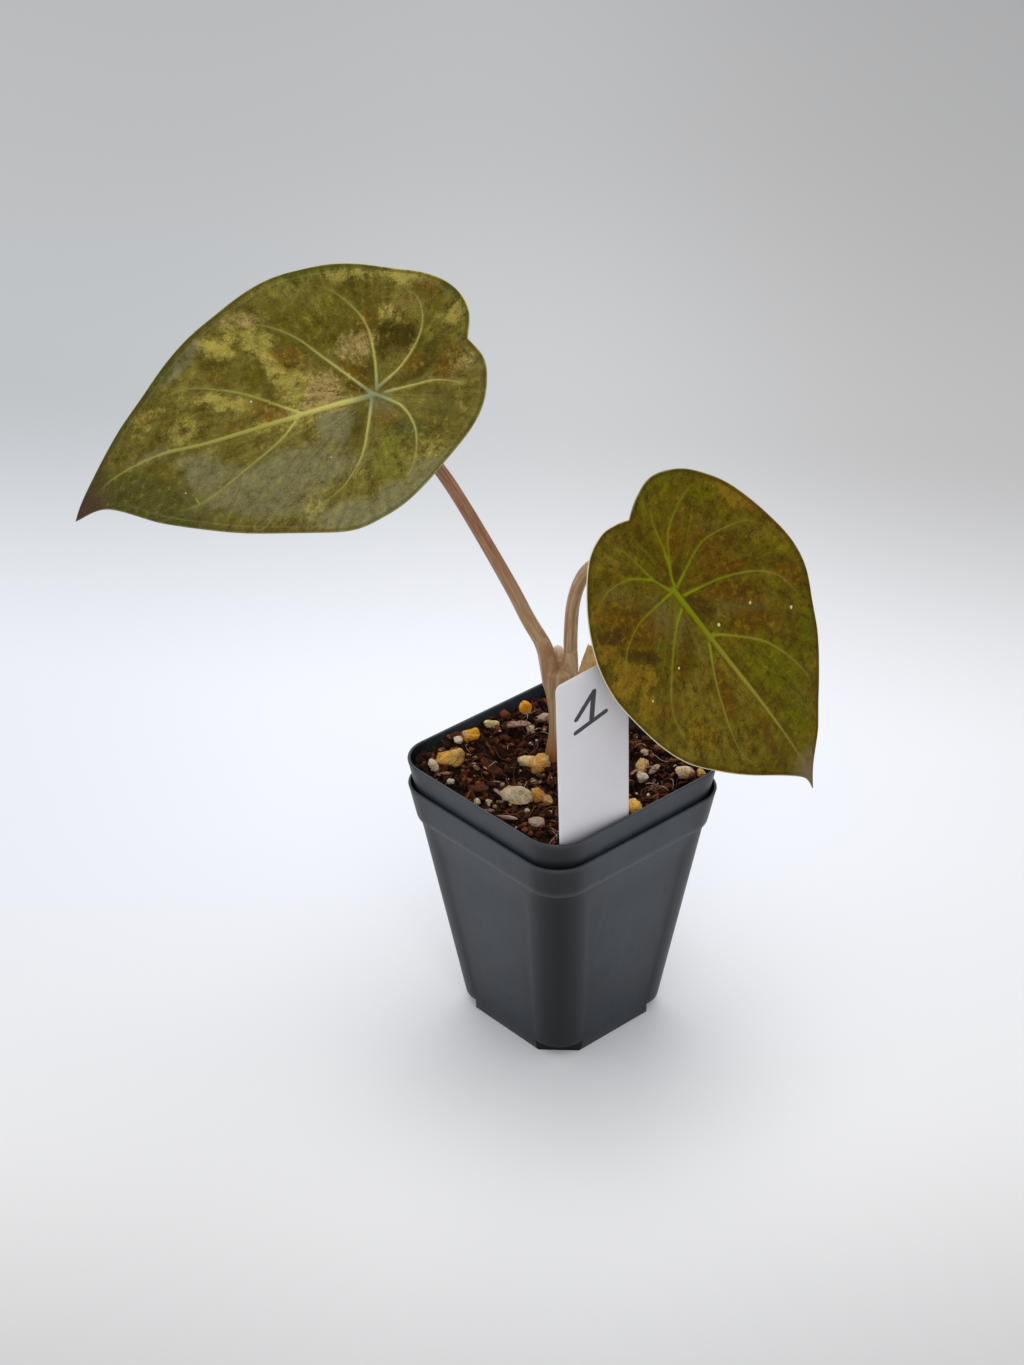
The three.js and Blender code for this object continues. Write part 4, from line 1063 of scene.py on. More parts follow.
def stalk_finish(pale, dark):
    """Tan skin with fine lengthwise stripes and a soft sheen, redder towards a blade."""
    f = Finish("stalk_skin", Specular_IOR_Level=0.35, Subsurface_Weight=0.05,
               Subsurface_Radius=(1.2 * MM, 0.5 * MM, 0.3 * MM))
    spot = f.read("grain", "Vector")
    stripes = f.stripes(spot, (1.9, 1.9, 0.035), 3, 0.6)
    thin = f.stripes(spot, (4.2, 4.2, 0.12), 3, 0.65)
    blotch = f.stripes(spot, (0.5, 0.5, 0.16))
    foot = f.read("foot")
    colour = f.mix(f.step(stripes, 0.36, 0.64), dark, pale)
    colour = f.mix(f.step(thin, 0.4, 0.7) * 0.6, colour, pale)
    colour = f.mix(f.step(blotch, 0.45, 0.7) * 0.5, colour, "a87c50")
    colour = f.mix((1 - f.step(thin, 0.3, 0.42)) * 0.3, colour, dark)
    redder = f.mix(f.step(thin, 0.4, 0.65), "7a4a34", "a87454")
    colour = f.mix(f.read("upper"), colour, redder)
    colour = f.mix(f.read("green_end") * 0.7, colour, "7a7a3c")
    colour = f.mix(foot * 0.85, colour, "a0663c")
    colour = f.mix(f.step(blotch, 0.5, 0.7) * 0.35, colour, "b87c62")
    rough = 0.42 + (thin - 0.5) * 0.3 + foot * 0.15
    return f.into(Base_Color=colour, Roughness=rough, Normal=f.bump(thin * 0.6 + stripes * 0.5, 0.18, 0.8))


def shoot_finish():
    """Pale pink new growth, a little translucent and darker at its foot."""
    f = Finish("new_shoot_skin", Specular_IOR_Level=0.4, Subsurface_Weight=0.5,
               Subsurface_Radius=(1.4 * MM, 0.9 * MM, 0.7 * MM))
    spot = f.read("grain", "Vector")
    stripes = f.stripes(spot, (2.4, 2.4, 0.12), 3, 0.6)
    colour = f.mix(f.step(stripes, 0.35, 0.65), "dfc8b0", "f0e2d0")
    colour = f.mix(1 - f.step(f.part(spot, 2), 113.5, 118.5), colour, "c09478")
    return f.into(Base_Color=colour, Roughness=0.4 + stripes * 0.1, Normal=f.bump(stripes, 0.12))


def dry_finish():
    """Papery dried sheath: tan to orange, with fine fibres along it."""
    f = Finish("dried_sheath_fibre", Specular_IOR_Level=0.2, Subsurface_Weight=0.6,
               Subsurface_Radius=(4.0 * MM, 3.2 * MM, 2.0 * MM))
    spot = f.read("grain", "Vector")
    fibres = f.stripes(spot, (3.0, 3.0, 0.16), 4, 0.7)
    colour = f.mix(f.step(fibres, 0.34, 0.66), "dfb060", "f6e0ac")
    colour = f.mix(f.step(f.noise(spot, 3.4), 0.5, 0.68) * 0.7, colour, "d8963e")
    return f.into(Base_Color=colour, Roughness=0.75 + fibres * 0.15, Normal=f.bump(fibres, 0.25))


# The three shades of each kind of soil bit.
SOIL_SHADES = {
    "soil_ground": ("0d0704", "2c170d", "4c2816"), "soil_crumbs": ("170c07", "4c2816", "8a4c2c"),
    "soil_bark": ("341a0e", "6e3c20", "b09684"), "soil_fibres": ("4a2412", "7c482a", "a8968a"),
}


def crumb_finish(name):
    """Rough soil bits. The tone attribute picks each bit's shade."""
    f = Finish(name, Specular_IOR_Level=0.12)
    first, second, third = SOIL_SHADES[name]
    spot = f.place()
    rough, fine = f.noise(spot, 0.9, 4, 0.7), f.noise(spot, 0.5, 3, 0.7)
    tone = f.read("tone") + (rough - 0.5) * 0.5
    colour = f.mix(f.step(tone, 0.15, 0.6), first, second)
    colour = f.mix(f.step(tone, 0.72, 0.95), colour, third)
    colour = f.mix(1.0, colour, f.grey((0.55 + fine * 0.9).held(0.2, 1.6)), "MULTIPLY")
    return f.into(Base_Color=colour, Roughness=0.75 + fine * 0.2, Normal=f.bump(rough + fine * 0.6, 0.3))


def stone_finish():
    """Pumice: each stone's own tint, with orange stains, pale and dark patches and darker pores."""
    f = Finish("pumice_stone", Specular_IOR_Level=0.2)
    spot = f.place()
    tint = f.read("tint", "Color")
    pores = f.step(f.cells(spot, 0.55), 0.12, 0.42)
    cloud = f.noise(spot, 1.6, 4, 0.65)
    stain = f.noise(spot, 2.6, 3, 0.6)
    colour = f.mix(f.step(stain, 0.5, 0.66) * 0.5, tint, "cf8a24")
    colour = f.mix((1 - f.step(stain, 0.36, 0.5)) * 0.4, colour, "ded2bc")
    colour = f.mix((1 - f.step(cloud, 0.3, 0.44)) * 0.5, colour, "6e4a28")
    colour = f.mix((1 - pores) * 0.45, colour, "4a3826")
    return f.into(Base_Color=colour, Roughness=0.85, Normal=f.bump(pores * 0.6 + cloud, 0.35))


def pot_finish():
    """Satin charcoal moulded plastic with faint flow marks and dust, painted shade at the rounded corners,
    towards the bottom and in the foot notches, and painted highlights along the rim and band edges.
    """
    f = Finish("pot_plastic", Specular_IOR_Level=0.3)
    spot = f.place()
    wide = f.noise(spot, 18.0, 3)
    streak = f.stripes(spot, (0.3, 0.3, 0.035))
    fine = f.noise(spot, 0.5, 3, 0.6)
    dust = f.noise(spot, 1.1, 5, 0.8)
    edge, flat = f.read("edge"), f.read("flat")
    # Painted shade: the rounded corners are painted much darker than the flat faces.
    colour = f.mix(flat, "07080b", "2d3239")
    colour = f.mix(f.step(wide, 0.35, 0.65) * flat * 0.5, colour, "393e45")
    colour = f.mix(f.step(streak, 0.5, 0.7) * flat * 0.3, colour, "41464f")
    smudge = f.noise(spot, 8.0, 4, 0.62)
    colour = f.mix(f.step(smudge, 0.52, 0.68) * flat * 0.4, colour, "22262e")
    colour = f.mix(f.step(dust, 0.66, 0.74) * 0.35, colour, "76716a")
    # Painted highlight along the rim and the band's step.
    colour = f.mix(edge * 0.25, colour, "5d6268")
    x, y, z = (f.part(spot, k) for k in range(3))
    # Painted shade: the pots darken towards the bottom.
    colour = f.mix((1 - f.step(z, -5, 50)) * 0.4, colour, "14161a")
    # Painted shade: the foot notches are painted nearly black.
    corner = x.absolute() + y.absolute()
    cut = f.step(corner, POT_NOTCH_REACH - 0.3, POT_NOTCH_REACH - 0.1) * (1 - f.step(z, 3.5, 3.9))
    colour = f.mix(cut * 0.85, colour, "050506")
    rough = 0.44 + (wide - 0.5) * 0.16 + (fine - 0.5) * 0.12 + (streak - 0.5) * 0.12
    return f.into(Base_Color=colour, Roughness=rough.held(0.25, 0.75), Normal=f.bump(fine, 0.035, 0.5))


# The numeral's pen strokes on the label: two ends each, across and up the label.
PEN_STROKES = [
    ((-5.55, 45.67), (0.34, 52.66)), ((0.34, 52.66), (-0.54, 42.9)), ((-5.86, 40.82), (4.14, 42.98)),
]
PEN_WIDTH = 1.75


def label_finish():
    """Smooth white plastic with a few grey specks, painted shade towards its lower right and the generic
    numeral in marker.
    """
    f = Finish("label_plastic", Specular_IOR_Level=0.3)
    spot = f.read("label_place", "Vector")
    across, up, side = (f.part(spot, k) for k in range(3))
    cloud = f.noise(spot, 9.0, 3)
    grit = f.noise(spot, 0.55, 4, 0.8)
    colour = f.mix(cloud, "dcd9dd", "e7e3e7")
    colour = f.mix(f.step(grit, 0.72, 0.78) * 0.35, colour, "8d8b92")
    # Painted shade: the label darkens towards its lower right.
    colour = f.mix(f.step(across * 0.9 - up, -50, 0) * 0.2, colour, "b2b0b6")
    wobble = (f.noise(spot, 1.1, 2) - 0.5) * 0.22
    ink = None
    for (ax, ay), (bx, by) in PEN_STROKES:
        dx, dy = bx - ax, by - ay
        share = (((across - ax) * dx + (up - ay) * dy) / (dx * dx + dy * dy)).held()
        off = ((across - (share * dx + ax)) ** 2.0 + (up - (share * dy + ay)) ** 2.0) ** 0.5
        stroke = 1 - f.step(off + wobble, PEN_WIDTH * 0.42, PEN_WIDTH * 0.56)
        ink = stroke if ink is None else ink.most(stroke)
    ink = ink * (1 - f.step(side, 0.4, 0.6))
    pen = f.mix(f.noise(spot, 0.7, 3), "161922", "2c303c")
    colour = f.mix(ink * (0.96 + 0.04 * cloud), colour, pen)
    return f.into(Base_Color=colour, Roughness=0.42 + cloud * 0.08 - ink * 0.05)


# Where a pot's flat side has its points, as shares of its half width.
SIDE_SHARES = (0.0, 0.25, 0.5, 0.75, 0.86, 0.9, 0.94, 0.98)
CORNER_STEPS = 12


def pot_section(z, top=POT_TOP_HALF):
    """Half width and corner radius of a pot's outer face at a height over its bottom."""
    half = POT_BOTTOM_HALF + (top - POT_BOTTOM_HALF) * z / POT_HEIGHT
    half -= POT_BAND_STEP * z / POT_BAND_FOOT if z < POT_BAND_FOOT else 0
    return half, POT_CORNER + POT_CORNER_GROWTH * z / POT_HEIGHT


def pot_ring(half, corner, recess, bow, height):
    """One ring of a pot's skin. Its flat sides are set back by the recess and bowed in."""
    flat = half - corner
    side = []
    for k in SIDE_SHARES:
        side.append((half - recess * (1 - float(smooth((k - 0.86) / 0.08))) - bow * (1 - k * k), flat * k))
    far = [(y, x) for x, y in reversed(side[1:])]
    for i in range(CORNER_STEPS + 1):
        angle = i / CORNER_STEPS * math.pi / 2
        side.append((flat + corner * math.cos(angle), flat + corner * math.sin(angle)))
    points = []
    for quarter in range(4):
        c, s = math.cos(quarter * math.pi / 2), math.sin(quarter * math.pi / 2)
        points.extend((x * c - y * s, x * s + y * c, height) for x, y in side + far)
    return points


def pot_mesh(name, settings, lift):
    """One nursery pot: thin walls, a stepped band, shallow flat panels and notched feet."""
    top, foot, wall, panel, bow = settings.rim_width / MM / 2, POT_BAND_FOOT, POT_WALL, 0.22, 0.25
    just = foot - 1e-6
    # Each ring: where the section is taken, how far inside it, its height, and its recess and bow.
    plan = [
        (0.3, 1.0, 0.0, 0, 0), (0.3, 0.35, 0.0, 0, 0), (0.3, 0.1, 0.12, 0, 0), (0.5, 0.0, 0.4, 0, 0),
        (5.0, 0.0, 5.0, 0, 0), *[(z, 0.0, z, panel, 0) for z in (6.4, 20.0, 40.0, 56.0, 62.0)],
        (63.6, 0.0, 63.6, 0, 0), (just, 0.0, foot - 0.75, 0, 0), (just, -0.06, foot - 0.55, 0, 0),
        (foot, 0.1, foot - 0.1, 0, 0), (foot, 0.0, foot + 0.15, 0, 0),
        (foot + 2, 0.0, foot + 2, 0, 0), (POT_HEIGHT - 1.8, 0.0, POT_HEIGHT - 1.8, 0, 0),
        (POT_HEIGHT, 0.0, POT_HEIGHT - 0.4, 0, 0), (POT_HEIGHT, 0.08, POT_HEIGHT - 0.12, 0, 0),
        (POT_HEIGHT, 0.3, POT_HEIGHT, 0, 0), (POT_HEIGHT, wall - 0.3, POT_HEIGHT, 0, 0),
        (POT_HEIGHT, wall - 0.06, POT_HEIGHT - 0.1, 0, 0), (POT_HEIGHT, wall, POT_HEIGHT - 0.5, 0, 0),
        (foot, wall, foot - 0.5, 0, bow), (just, wall, foot - 1.4, 0, bow),
        (40.0, wall, 40.0, 0, 0), (POT_FLOOR + 1, wall, POT_FLOOR + 1, 0, 0),
        (POT_FLOOR, wall + 0.6, POT_FLOOR, 0, 0),
    ]
    verts, flat, edge = [], [], []
    for z, inset, height, recess, bowed in plan:
        half, corner = pot_section(z, top)
        ring = pot_ring(half - inset, max(corner - inset, 0.5), recess, bowed, height + lift)
        outside = inset < wall
        # The rim and the band's step, where the finish paints a highlight.
        edge_highlight = outside and (z == POT_HEIGHT or abs(height - foot) < 0.6)
        # Nearness to a face's middle: the finish paints the rounded corners dark as painted shade.
        least = 0.2 if outside and z >= foot else 0.0
        for x, y, _ in ring:
            past = min(abs(x), abs(y)) - half + corner
            bend = abs(math.atan2(past, corner)) if past > 0 else 0
            beside = corner * (math.pi / 4 - bend) + max(-past, 0)
            flat.append(max(least, 0.02 + 0.98 * float(smooth(beside / 19))))
        verts.extend(ring)
        edge.extend([float(edge_highlight)] * len(ring))
    count = len(verts) // len(plan)
    faces = ring_faces(len(plan), count, capped=False)
    for first in (0, len(verts) - count):
        middle = len(flat)
        verts.append((0, 0, verts[first][2]))
        flat.append(1.0)
        edge.append(0.0)
        faces.extend((middle, first + (j + 1) % count, first + j) for j in range(count))
    piece = new_piece(name, verts, faces, numbers={"edge": edge, "flat": flat})
    for quarter in range(4):
        cut_corner(piece, quarter, lift)
    return piece


def cut_corner(piece, quarter, lift):
    """Cuts the slanted notch out of one foot corner."""
    reach, clear = POT_NOTCH_REACH, 60
    c, s = round(math.cos(quarter * math.pi / 2)), round(math.sin(quarter * math.pi / 2))
    flat = [(reach, 0), (clear, 0), (clear, clear), (0, clear), (0, reach)]
    flat = [(x * c - y * s, x * s + y * c) for x, y in flat]
    verts = [(x * MM, y * MM, (z + lift) * MM) for z in (-1, POT_NOTCH_HEIGHT) for x, y in flat]
    mesh = bpy.data.meshes.new("foot_notch")
    mesh.from_pydata(verts, [], ring_faces(2, 5))
    block = new_object("foot_notch", mesh)
    cut = piece.modifiers.new("foot_notch", "BOOLEAN")
    cut.operation = "DIFFERENCE"
    cut.solver = "EXACT"
    cut.object = block
    settle(piece)
    bpy.data.objects.remove(block)
    bpy.data.meshes.remove(mesh)


def settle(piece):
    """Makes a piece's modifiers part of its mesh."""
    bpy.context.view_layer.update()
    graph = bpy.context.evaluated_depsgraph_get()
    mesh = bpy.data.meshes.new_from_object(piece.evaluated_get(graph))
    old = piece.data
    piece.modifiers.clear()
    piece.data = mesh
    bpy.data.meshes.remove(old)


def label_axes():
    """Directions across the label, up it and out of its face."""
    turn, lean, tilt = (math.radians(v) for v in (LABEL_TURN, LABEL_LEAN, LABEL_TILT))
    side = np.array([-math.sin(turn), math.cos(turn), 0])
    out = np.array([math.cos(turn), math.sin(turn), 0])
    up = np.array([0, 0, math.cos(lean)]) + out * math.sin(lean)
    across = side * math.cos(tilt) + up * math.sin(tilt)
    along = -side * math.sin(tilt) + up * math.cos(tilt)
    return across, along, np.cross(across, along)


def label_reach(half, up):
    """Half width of the label at a height: round at the top corners and cut off at the foot."""
    gone = LABEL_ABOVE_RIM - up
    if gone < LABEL_CORNER:
        return half - LABEL_CORNER + math.sqrt(max(LABEL_CORNER ** 2 - (LABEL_CORNER - gone) ** 2, 0))
    return half - max(3 - (up - LABEL_BELOW_RIM), 0)


def label_mesh(settings):
    """The tag: a thin sheet with rounded corners, softly bent, with its edges rounded off."""
    across, along, face = label_axes()
    half, columns = settings.width / MM / 2, 24
    turns = (math.radians(a) for a in (0, 12, 24, 36, 50, 64, 78, 90))
    rows = [LABEL_ABOVE_RIM - LABEL_CORNER * (1 - math.cos(turn)) for turn in turns]
    rows += list(np.linspace(LABEL_ABOVE_RIM - LABEL_CORNER - 1.5, LABEL_BELOW_RIM + 3, 40))
    rows += [LABEL_BELOW_RIM + 2, LABEL_BELOW_RIM + 1, LABEL_BELOW_RIM]
    verts, places = [], []
    for sign in (1, -1):
        for up in rows:
            reach = label_reach(half, up)
            for k in range(columns + 1):
                x = reach * math.sin((k / columns - 0.5) * math.pi)
                inside = min(reach - abs(x), LABEL_ABOVE_RIM - up)
                lip = 0.16 * (1 - float(smooth(inside / 0.3)))
                bend = 0.00025 * max(up - 10, 0) ** 2 - 0.0009 * x * x
                depth = sign * (LABEL_THICKNESS / 2 - lip) + bend * -0.35
                verts.append(np.array(LABEL_FOOT) + x * across + up * along + depth * face)
                places.append((x, up, 0.0 if sign > 0 else 1.0))
    faces = sheet_faces(len(rows), columns)
    return new_piece("label_sheet", verts, faces, vectors={"label_place": places})


# Stones that the eye finds first: place, three sizes, turn, height over the ground and tint.
STONES = [
    (2.1, -19.8, 9.8, 7.0, 6.2, 40, 1.5, "bda584"), (-23.9, -22.0, 11, 6.0, 6.0, 75, 1.6, "cf9c46"),
    (-24.6, -27.9, 3.2, 2.8, 4.6, 10, 1.8, "d8cab0"), (25.5, 24.6, 6.4, 4.4, 4.8, 35, 1.6, "dcc39a"),
    (-9.3, -4.6, 6.4, 5.2, 5.0, 30, 1.4, "e0c08c"), (-6.0, -3.6, 6.6, 6.0, 6.4, 60, 1.6, "d8a050"),
    (5.4, -14.6, 5.6, 4.6, 4.4, 0, 1.2, "c48c3c"), (8.6, -13.6, 4.0, 3.4, 3.2, 0, 1.0, "c4934e"),
    (-28.3, -10.2, 6.0, 5.0, 5.2, 30, 1.5, "e09c26"), (-28.9, 12.0, 4.6, 4.0, 4.8, 0, 1.8, "ea9606"),
    (-28.6, -15.1, 3.2, 2.6, 2.6, 0, 1.2, "d6c4aa"), (10.6, 23.0, 2.6, 2.4, 2.4, 0, 1.4, "c9a992"),
    (15.6, 17.0, 5.6, 3.8, 5.0, 130, 1.4, "d0a468"), (18.2, 14.6, 4.0, 3.4, 3.6, 0, 1.2, "d8c6a4"),
    (29.2, 1.0, 6.2, 5.4, 5.0, 0, 1.5, "eab452"), (29.0, 28.2, 3.4, 2.8, 3.0, 0, 1.2, "dcae5e"),
    (-29.7, -1.0, 4.8, 2.8, 3.0, 60, 1.3, "d8c48c"), (-22.2, 7.8, 3.0, 2.4, 2.4, 0, 1.1, "c8b088"),
    (-4, -29.6, 2.4, 2.2, 2.2, 0, 1.0, "dcc69c"), (-1.2, -27.4, 2.0, 1.8, 1.8, 0, 0.9, "cbb48c"),
]
LOOSE_TINTS = ["bfae92", "a98a62", "96683c", "c8bcaa", "8e6a42", "b08a58"]
# Bark: place, three sizes, turn, height over the ground and tone.
BARK_FLAKES = [
    (15.4, -23.9, 6.4, 4.6, 2.6, 55, 1.5, 0.9), (-25.9, 5.4, 10.0, 3.2, 1.8, 42, 1.2, 0.85),
    (-14, -14, 7.5, 3.2, 1.6, 20, 0.9, 0.3), (8, 8, 8, 3.4, 1.8, 110, 0.9, 0.25),
    (-18, 18, 7, 3.6, 1.8, 150, 0.9, 0.35), (-3, 24, 8.5, 3, 1.8, 35, 0.9, 0.3),
    (24.8, 17.5, 4.4, 2.4, 1.6, 80, 0.8, 0.35), (17.2, 20.2, 5.5, 2.4, 1.8, 100, 1.2, 1.0),
    (-7.6, -25.3, 6.5, 4.0, 2.4, 40, 1.0, 0.35), (-30.5, 5.2, 3.8, 3.0, 2.6, 10, 1.5, 0.5),
    (-30.6, -14.3, 3.8, 3.4, 3.0, 10, 1.4, 0.3), (7.7, -28.4, 6.5, 1.5, 1.2, 45, 1.3, 0.95),
    (-24.4, 14.3, 5.0, 3.6, 2.4, 60, 1.2, 0.95),
]
# Hollows: middle, reach and depth.
SOIL_HOLLOWS = [
    (-16.9, -7.5, 5.0, 3.4), (-5.5, -11.5, 4.5, 2.6), (-20.5, 2.0, 4.0, 2.4), (-12, -17.5, 3.6, 2.0),
    (12, -8, 4.5, 1.8), (20.5, 10, 4, 2.2), (21, 20.5, 3.4, 2.2), (26.5, 19.5, 3.0, 1.8), (0, 16, 5, 1.6),
]
# The tuft of curled fibres: their number and its middle.
TUFT_FIBRES = 14
TUFT_PLACE = (24.8, 13.6)
STEM_PLACE = (-7.1, 5.3)


def soil_height(x, y):
    """Height of the soil's surface: it rises to one corner, with bumps and hollows."""
    rise = SOIL_RISE * float(smooth((-x - y) / (2 * POT_TOP_HALF)))
    coarse = math.sin(x * 0.37 + 1.3) * math.cos(y * 0.41 - 0.6)
    fine = math.sin(x * 1.05 - y * 0.62) * math.sin(y * 0.93 + x * 0.28 + 2)
    rise += SOIL_BANK * float(smooth((-x - 20) / 12))
    height = SOIL_LEVEL + rise + SOIL_BUMP * (0.6 * coarse + 0.5 * fine)
    for cx, cy, reach, depth in SOIL_HOLLOWS:
        height -= depth * math.exp(-((x - cx) ** 2 + (y - cy) ** 2) / (reach * reach))
    return height


def in_hollow(x, y):
    """How deep inside a dark hollow a point lies, from 0 to 0.75: few crumbs lie there."""
    return max(0.75 * math.exp(-((x - cx) ** 2 + (y - cy) ** 2) / (0.7 * reach * reach))
               for cx, cy, reach, _ in SOIL_HOLLOWS)


def soil_outline(z):
    """Half width and corner radius of the room inside the inner pot at a height."""
    half, corner = pot_section(z - NESTING_STEP)
    return half - POT_WALL - 0.15, corner - POT_WALL


def squared(u, v, half, corner):
    """Takes a point of the square from -1 to 1 into a rounded square."""
    reach = max(abs(u), abs(v))
    if reach < 1e-9:
        return 0.0, 0.0
    x, y = u / reach * half, v / reach * half
    dx, dy = abs(x) - (half - corner), abs(y) - (half - corner)
    if dx > 0 and dy > 0:
        turn = math.atan2(dy, dx)
        x = math.copysign(half - corner + corner * math.cos(turn), x)
        y = math.copysign(half - corner + corner * math.sin(turn), y)
    return x * reach, y * reach


def ground_mesh(settings):
    """The soil's body: a rough crumbly top inside the pot, with its sides hidden by the wall."""
    cells = settings.ground_cells
    row = cells + 1
    floor = POT_FLOOR + NESTING_STEP

    def spread(z):
        steps = [2 * i / cells - 1 for i in range(row)]
        return [squared(u, v, *soil_outline(z)) for u in steps for v in steps]

    flat = spread(SOIL_LEVEL)
    places = np.array(flat)
    bumps = noise_at(places, 2.4, 5.1, 4) * 1.0 + noise_at(places, 0.9, 9.7, 3) * 0.6
    verts = [(x, y, soil_height(x, y) - 0.75 + bump) for (x, y), bump in zip(flat, bumps)]
    faces = []
    for i in range(cells):
        for j in range(cells):
            a = i * row + j
            faces.append((a, a + row, a + row + 1, a + 1))
    border = sheet_border(row, cells)
    low, base, count = spread(floor + 1), len(verts), len(border)
    verts += [(*low[b], floor + 0.3) for b in border]
    for k in range(count):
        after = (k + 1) % count
        faces.append((border[k], border[after], base + after, base + k))
    faces.append(tuple(range(base, base + count)))
    tone = 0.5 + 0.5 * noise_at(np.array(verts), 3.0, 1.7, 2)
    return new_piece("soil_ground", verts, faces, numbers={"tone": np.clip(tone, 0, 1)})


def lump_shape(level):
    """A ball of small triangles, finer with each level."""
    work = bmesh.new()
    bmesh.ops.create_icosphere(work, subdivisions=level, radius=1.0)
    verts = [np.array(v.co) for v in work.verts]
    faces = [tuple(v.index for v in f.verts) for f in work.faces]
    work.free()
    return verts, faces


def turned(rng, tilt, turn):
    """A turn about the upright, after a random lean of at most the tilt."""
    lean = Matrix.Rotation(rng.uniform(-tilt, tilt), 3, "X")
    lean = lean @ Matrix.Rotation(rng.uniform(-tilt, tilt), 3, "Y")
    return np.array(Matrix.Rotation(math.radians(turn), 3, "Z") @ lean)


def lump(shape, rng, centre, sizes, turn, tilt, angular, rough, value):
    """An uneven bit: a ball cut by a few flat faces, made rough and placed, all of one tone."""
    verts, faces = shape
    cuts = []
    for _ in range(angular):
        way = np.array([rng.gauss(0, 1) for _ in range(3)])
        cuts.append((way / np.linalg.norm(way), rng.uniform(0.52, 0.85)))
    place = turned(rng, tilt, turn)
    offset = Vector([rng.uniform(0, 50) for _ in range(3)])
    out = []
    for v in verts:
        p = v.copy()
        for way, depth in cuts:
            over = p @ way - depth
            if over > 0:
                p = p - way * over * 0.85
        coarse = noise.noise(Vector(v) * 1.7 + offset)
        fine = noise.noise(Vector(v) * 4.1 + offset)
        p = p * (1 + rough * coarse + rough * 0.5 * fine)
        out.append(place @ (p * np.array(sizes) / 2) + centre)
    return out, faces, [value] * len(out)


def in_pot(rng, margin=1.2):
    """A random place in the pot."""
    half, corner = soil_outline(SOIL_LEVEL)
    return squared(rng.uniform(-1, 1), rng.uniform(-1, 1), half - margin, corner)


def near_stem(x, y, reach):
    return (x - STEM_PLACE[0]) ** 2 + (y - STEM_PLACE[1]) ** 2 < reach * reach


def crumbs_mesh(settings):
    """Coir and peat crumbs of many sizes, heaped over the ground."""
    rng = random.Random(settings.seed)
    shape = lump_shape(1)
    parts = []
    for _ in range(settings.crumbs):
        x, y = in_pot(rng)
        size = 0.6 + 1.7 * rng.random() ** 2.6
        if near_stem(x, y, 4.2) or rng.random() < in_hollow(x, y):
            continue
        sizes = (size * rng.uniform(0.9, 1.7), size, size * rng.uniform(0.6, 1.0))
        centre = np.array([x, y, soil_height(x, y) + rng.uniform(-0.5, 0.75)])
        verts, faces, _ = lump(shape, rng, centre, sizes, rng.uniform(0, 180), 0.8, 2, 0.5, 0)
        parts.append((verts, faces, [rng.random() ** 1.3] * len(verts)))
    verts, faces, (tone,) = joined(parts)
    return new_piece("soil_crumbs", verts, faces, numbers={"tone": tone}, shaded=False)


def bark_mesh(settings):
    """Flat broken flakes of bark lying at all angles."""
    rng = random.Random(settings.seed + 1)
    shape = lump_shape(2)
    rows = [(*flake, 0.25) for flake in BARK_FLAKES]
    for _ in range(settings.bark_flakes):
        x, y = in_pot(rng, 2.5)
        if not near_stem(x, y, 6) and rng.random() > in_hollow(x, y):
            rows.append((x, y, rng.uniform(1.8, 5), rng.uniform(0.9, 2.0), rng.uniform(0.5, 1.1),
                         rng.uniform(0, 180), rng.uniform(0.1, 1.1), rng.random() ** 1.5, 0.7))
    parts = []
    for x, y, a, b, c, turn, above, tone, tilt in rows:
        centre = np.array([x, y, soil_height(x, y) + above])
        parts.append(lump(shape, rng, centre, (a, b, c), turn, tilt, 6, 0.22, tone))
    verts, faces, (tone,) = joined(parts)
    return new_piece("soil_bark", verts, faces, numbers={"tone": tone}, shaded=False)


def stones_mesh(settings):
    """Pumice stones: the placed ones and a scatter of small ones and white dots."""
    rng = random.Random(settings.seed + 2)
    big, small = lump_shape(3), lump_shape(2)
    parts = []

    def add(shape, x, y, sizes, turn, above, tint, rough=0.3):
        centre = np.array([x, y, soil_height(x, y) + above])
        parts.append(lump(shape, rng, centre, sizes, turn, 0.35, 7, rough, srgb(tint)))

    for x, y, a, b, c, turn, above, tint in STONES:
        add(big, x, y, (a, b, c), turn, above, tint, 0.26)
    for _ in range(settings.loose_stones):
        x, y = in_pot(rng, 2)
        size = 0.8 + 1.9 * rng.random() ** 2.2
        if not near_stem(x, y, 6):
            turn, above, tint = rng.uniform(0, 180), rng.uniform(0.2, 1.0), rng.choice(LOOSE_TINTS)
            add(small, x, y, (size * 1.2, size, size * 0.9), turn, above, tint)
    for _ in range(settings.white_dots):
        x, y = in_pot(rng, 1.5)
        size = rng.uniform(0.35, 0.65)
        if not near_stem(x, y, 5):
            add(small, x, y, (size, size, size), 0, rng.uniform(0.5, 1.1), "e6e2dc")
    verts, faces, (tint,) = joined(parts)
    return new_piece("soil_stones", verts, faces, colours={"tint": tint})


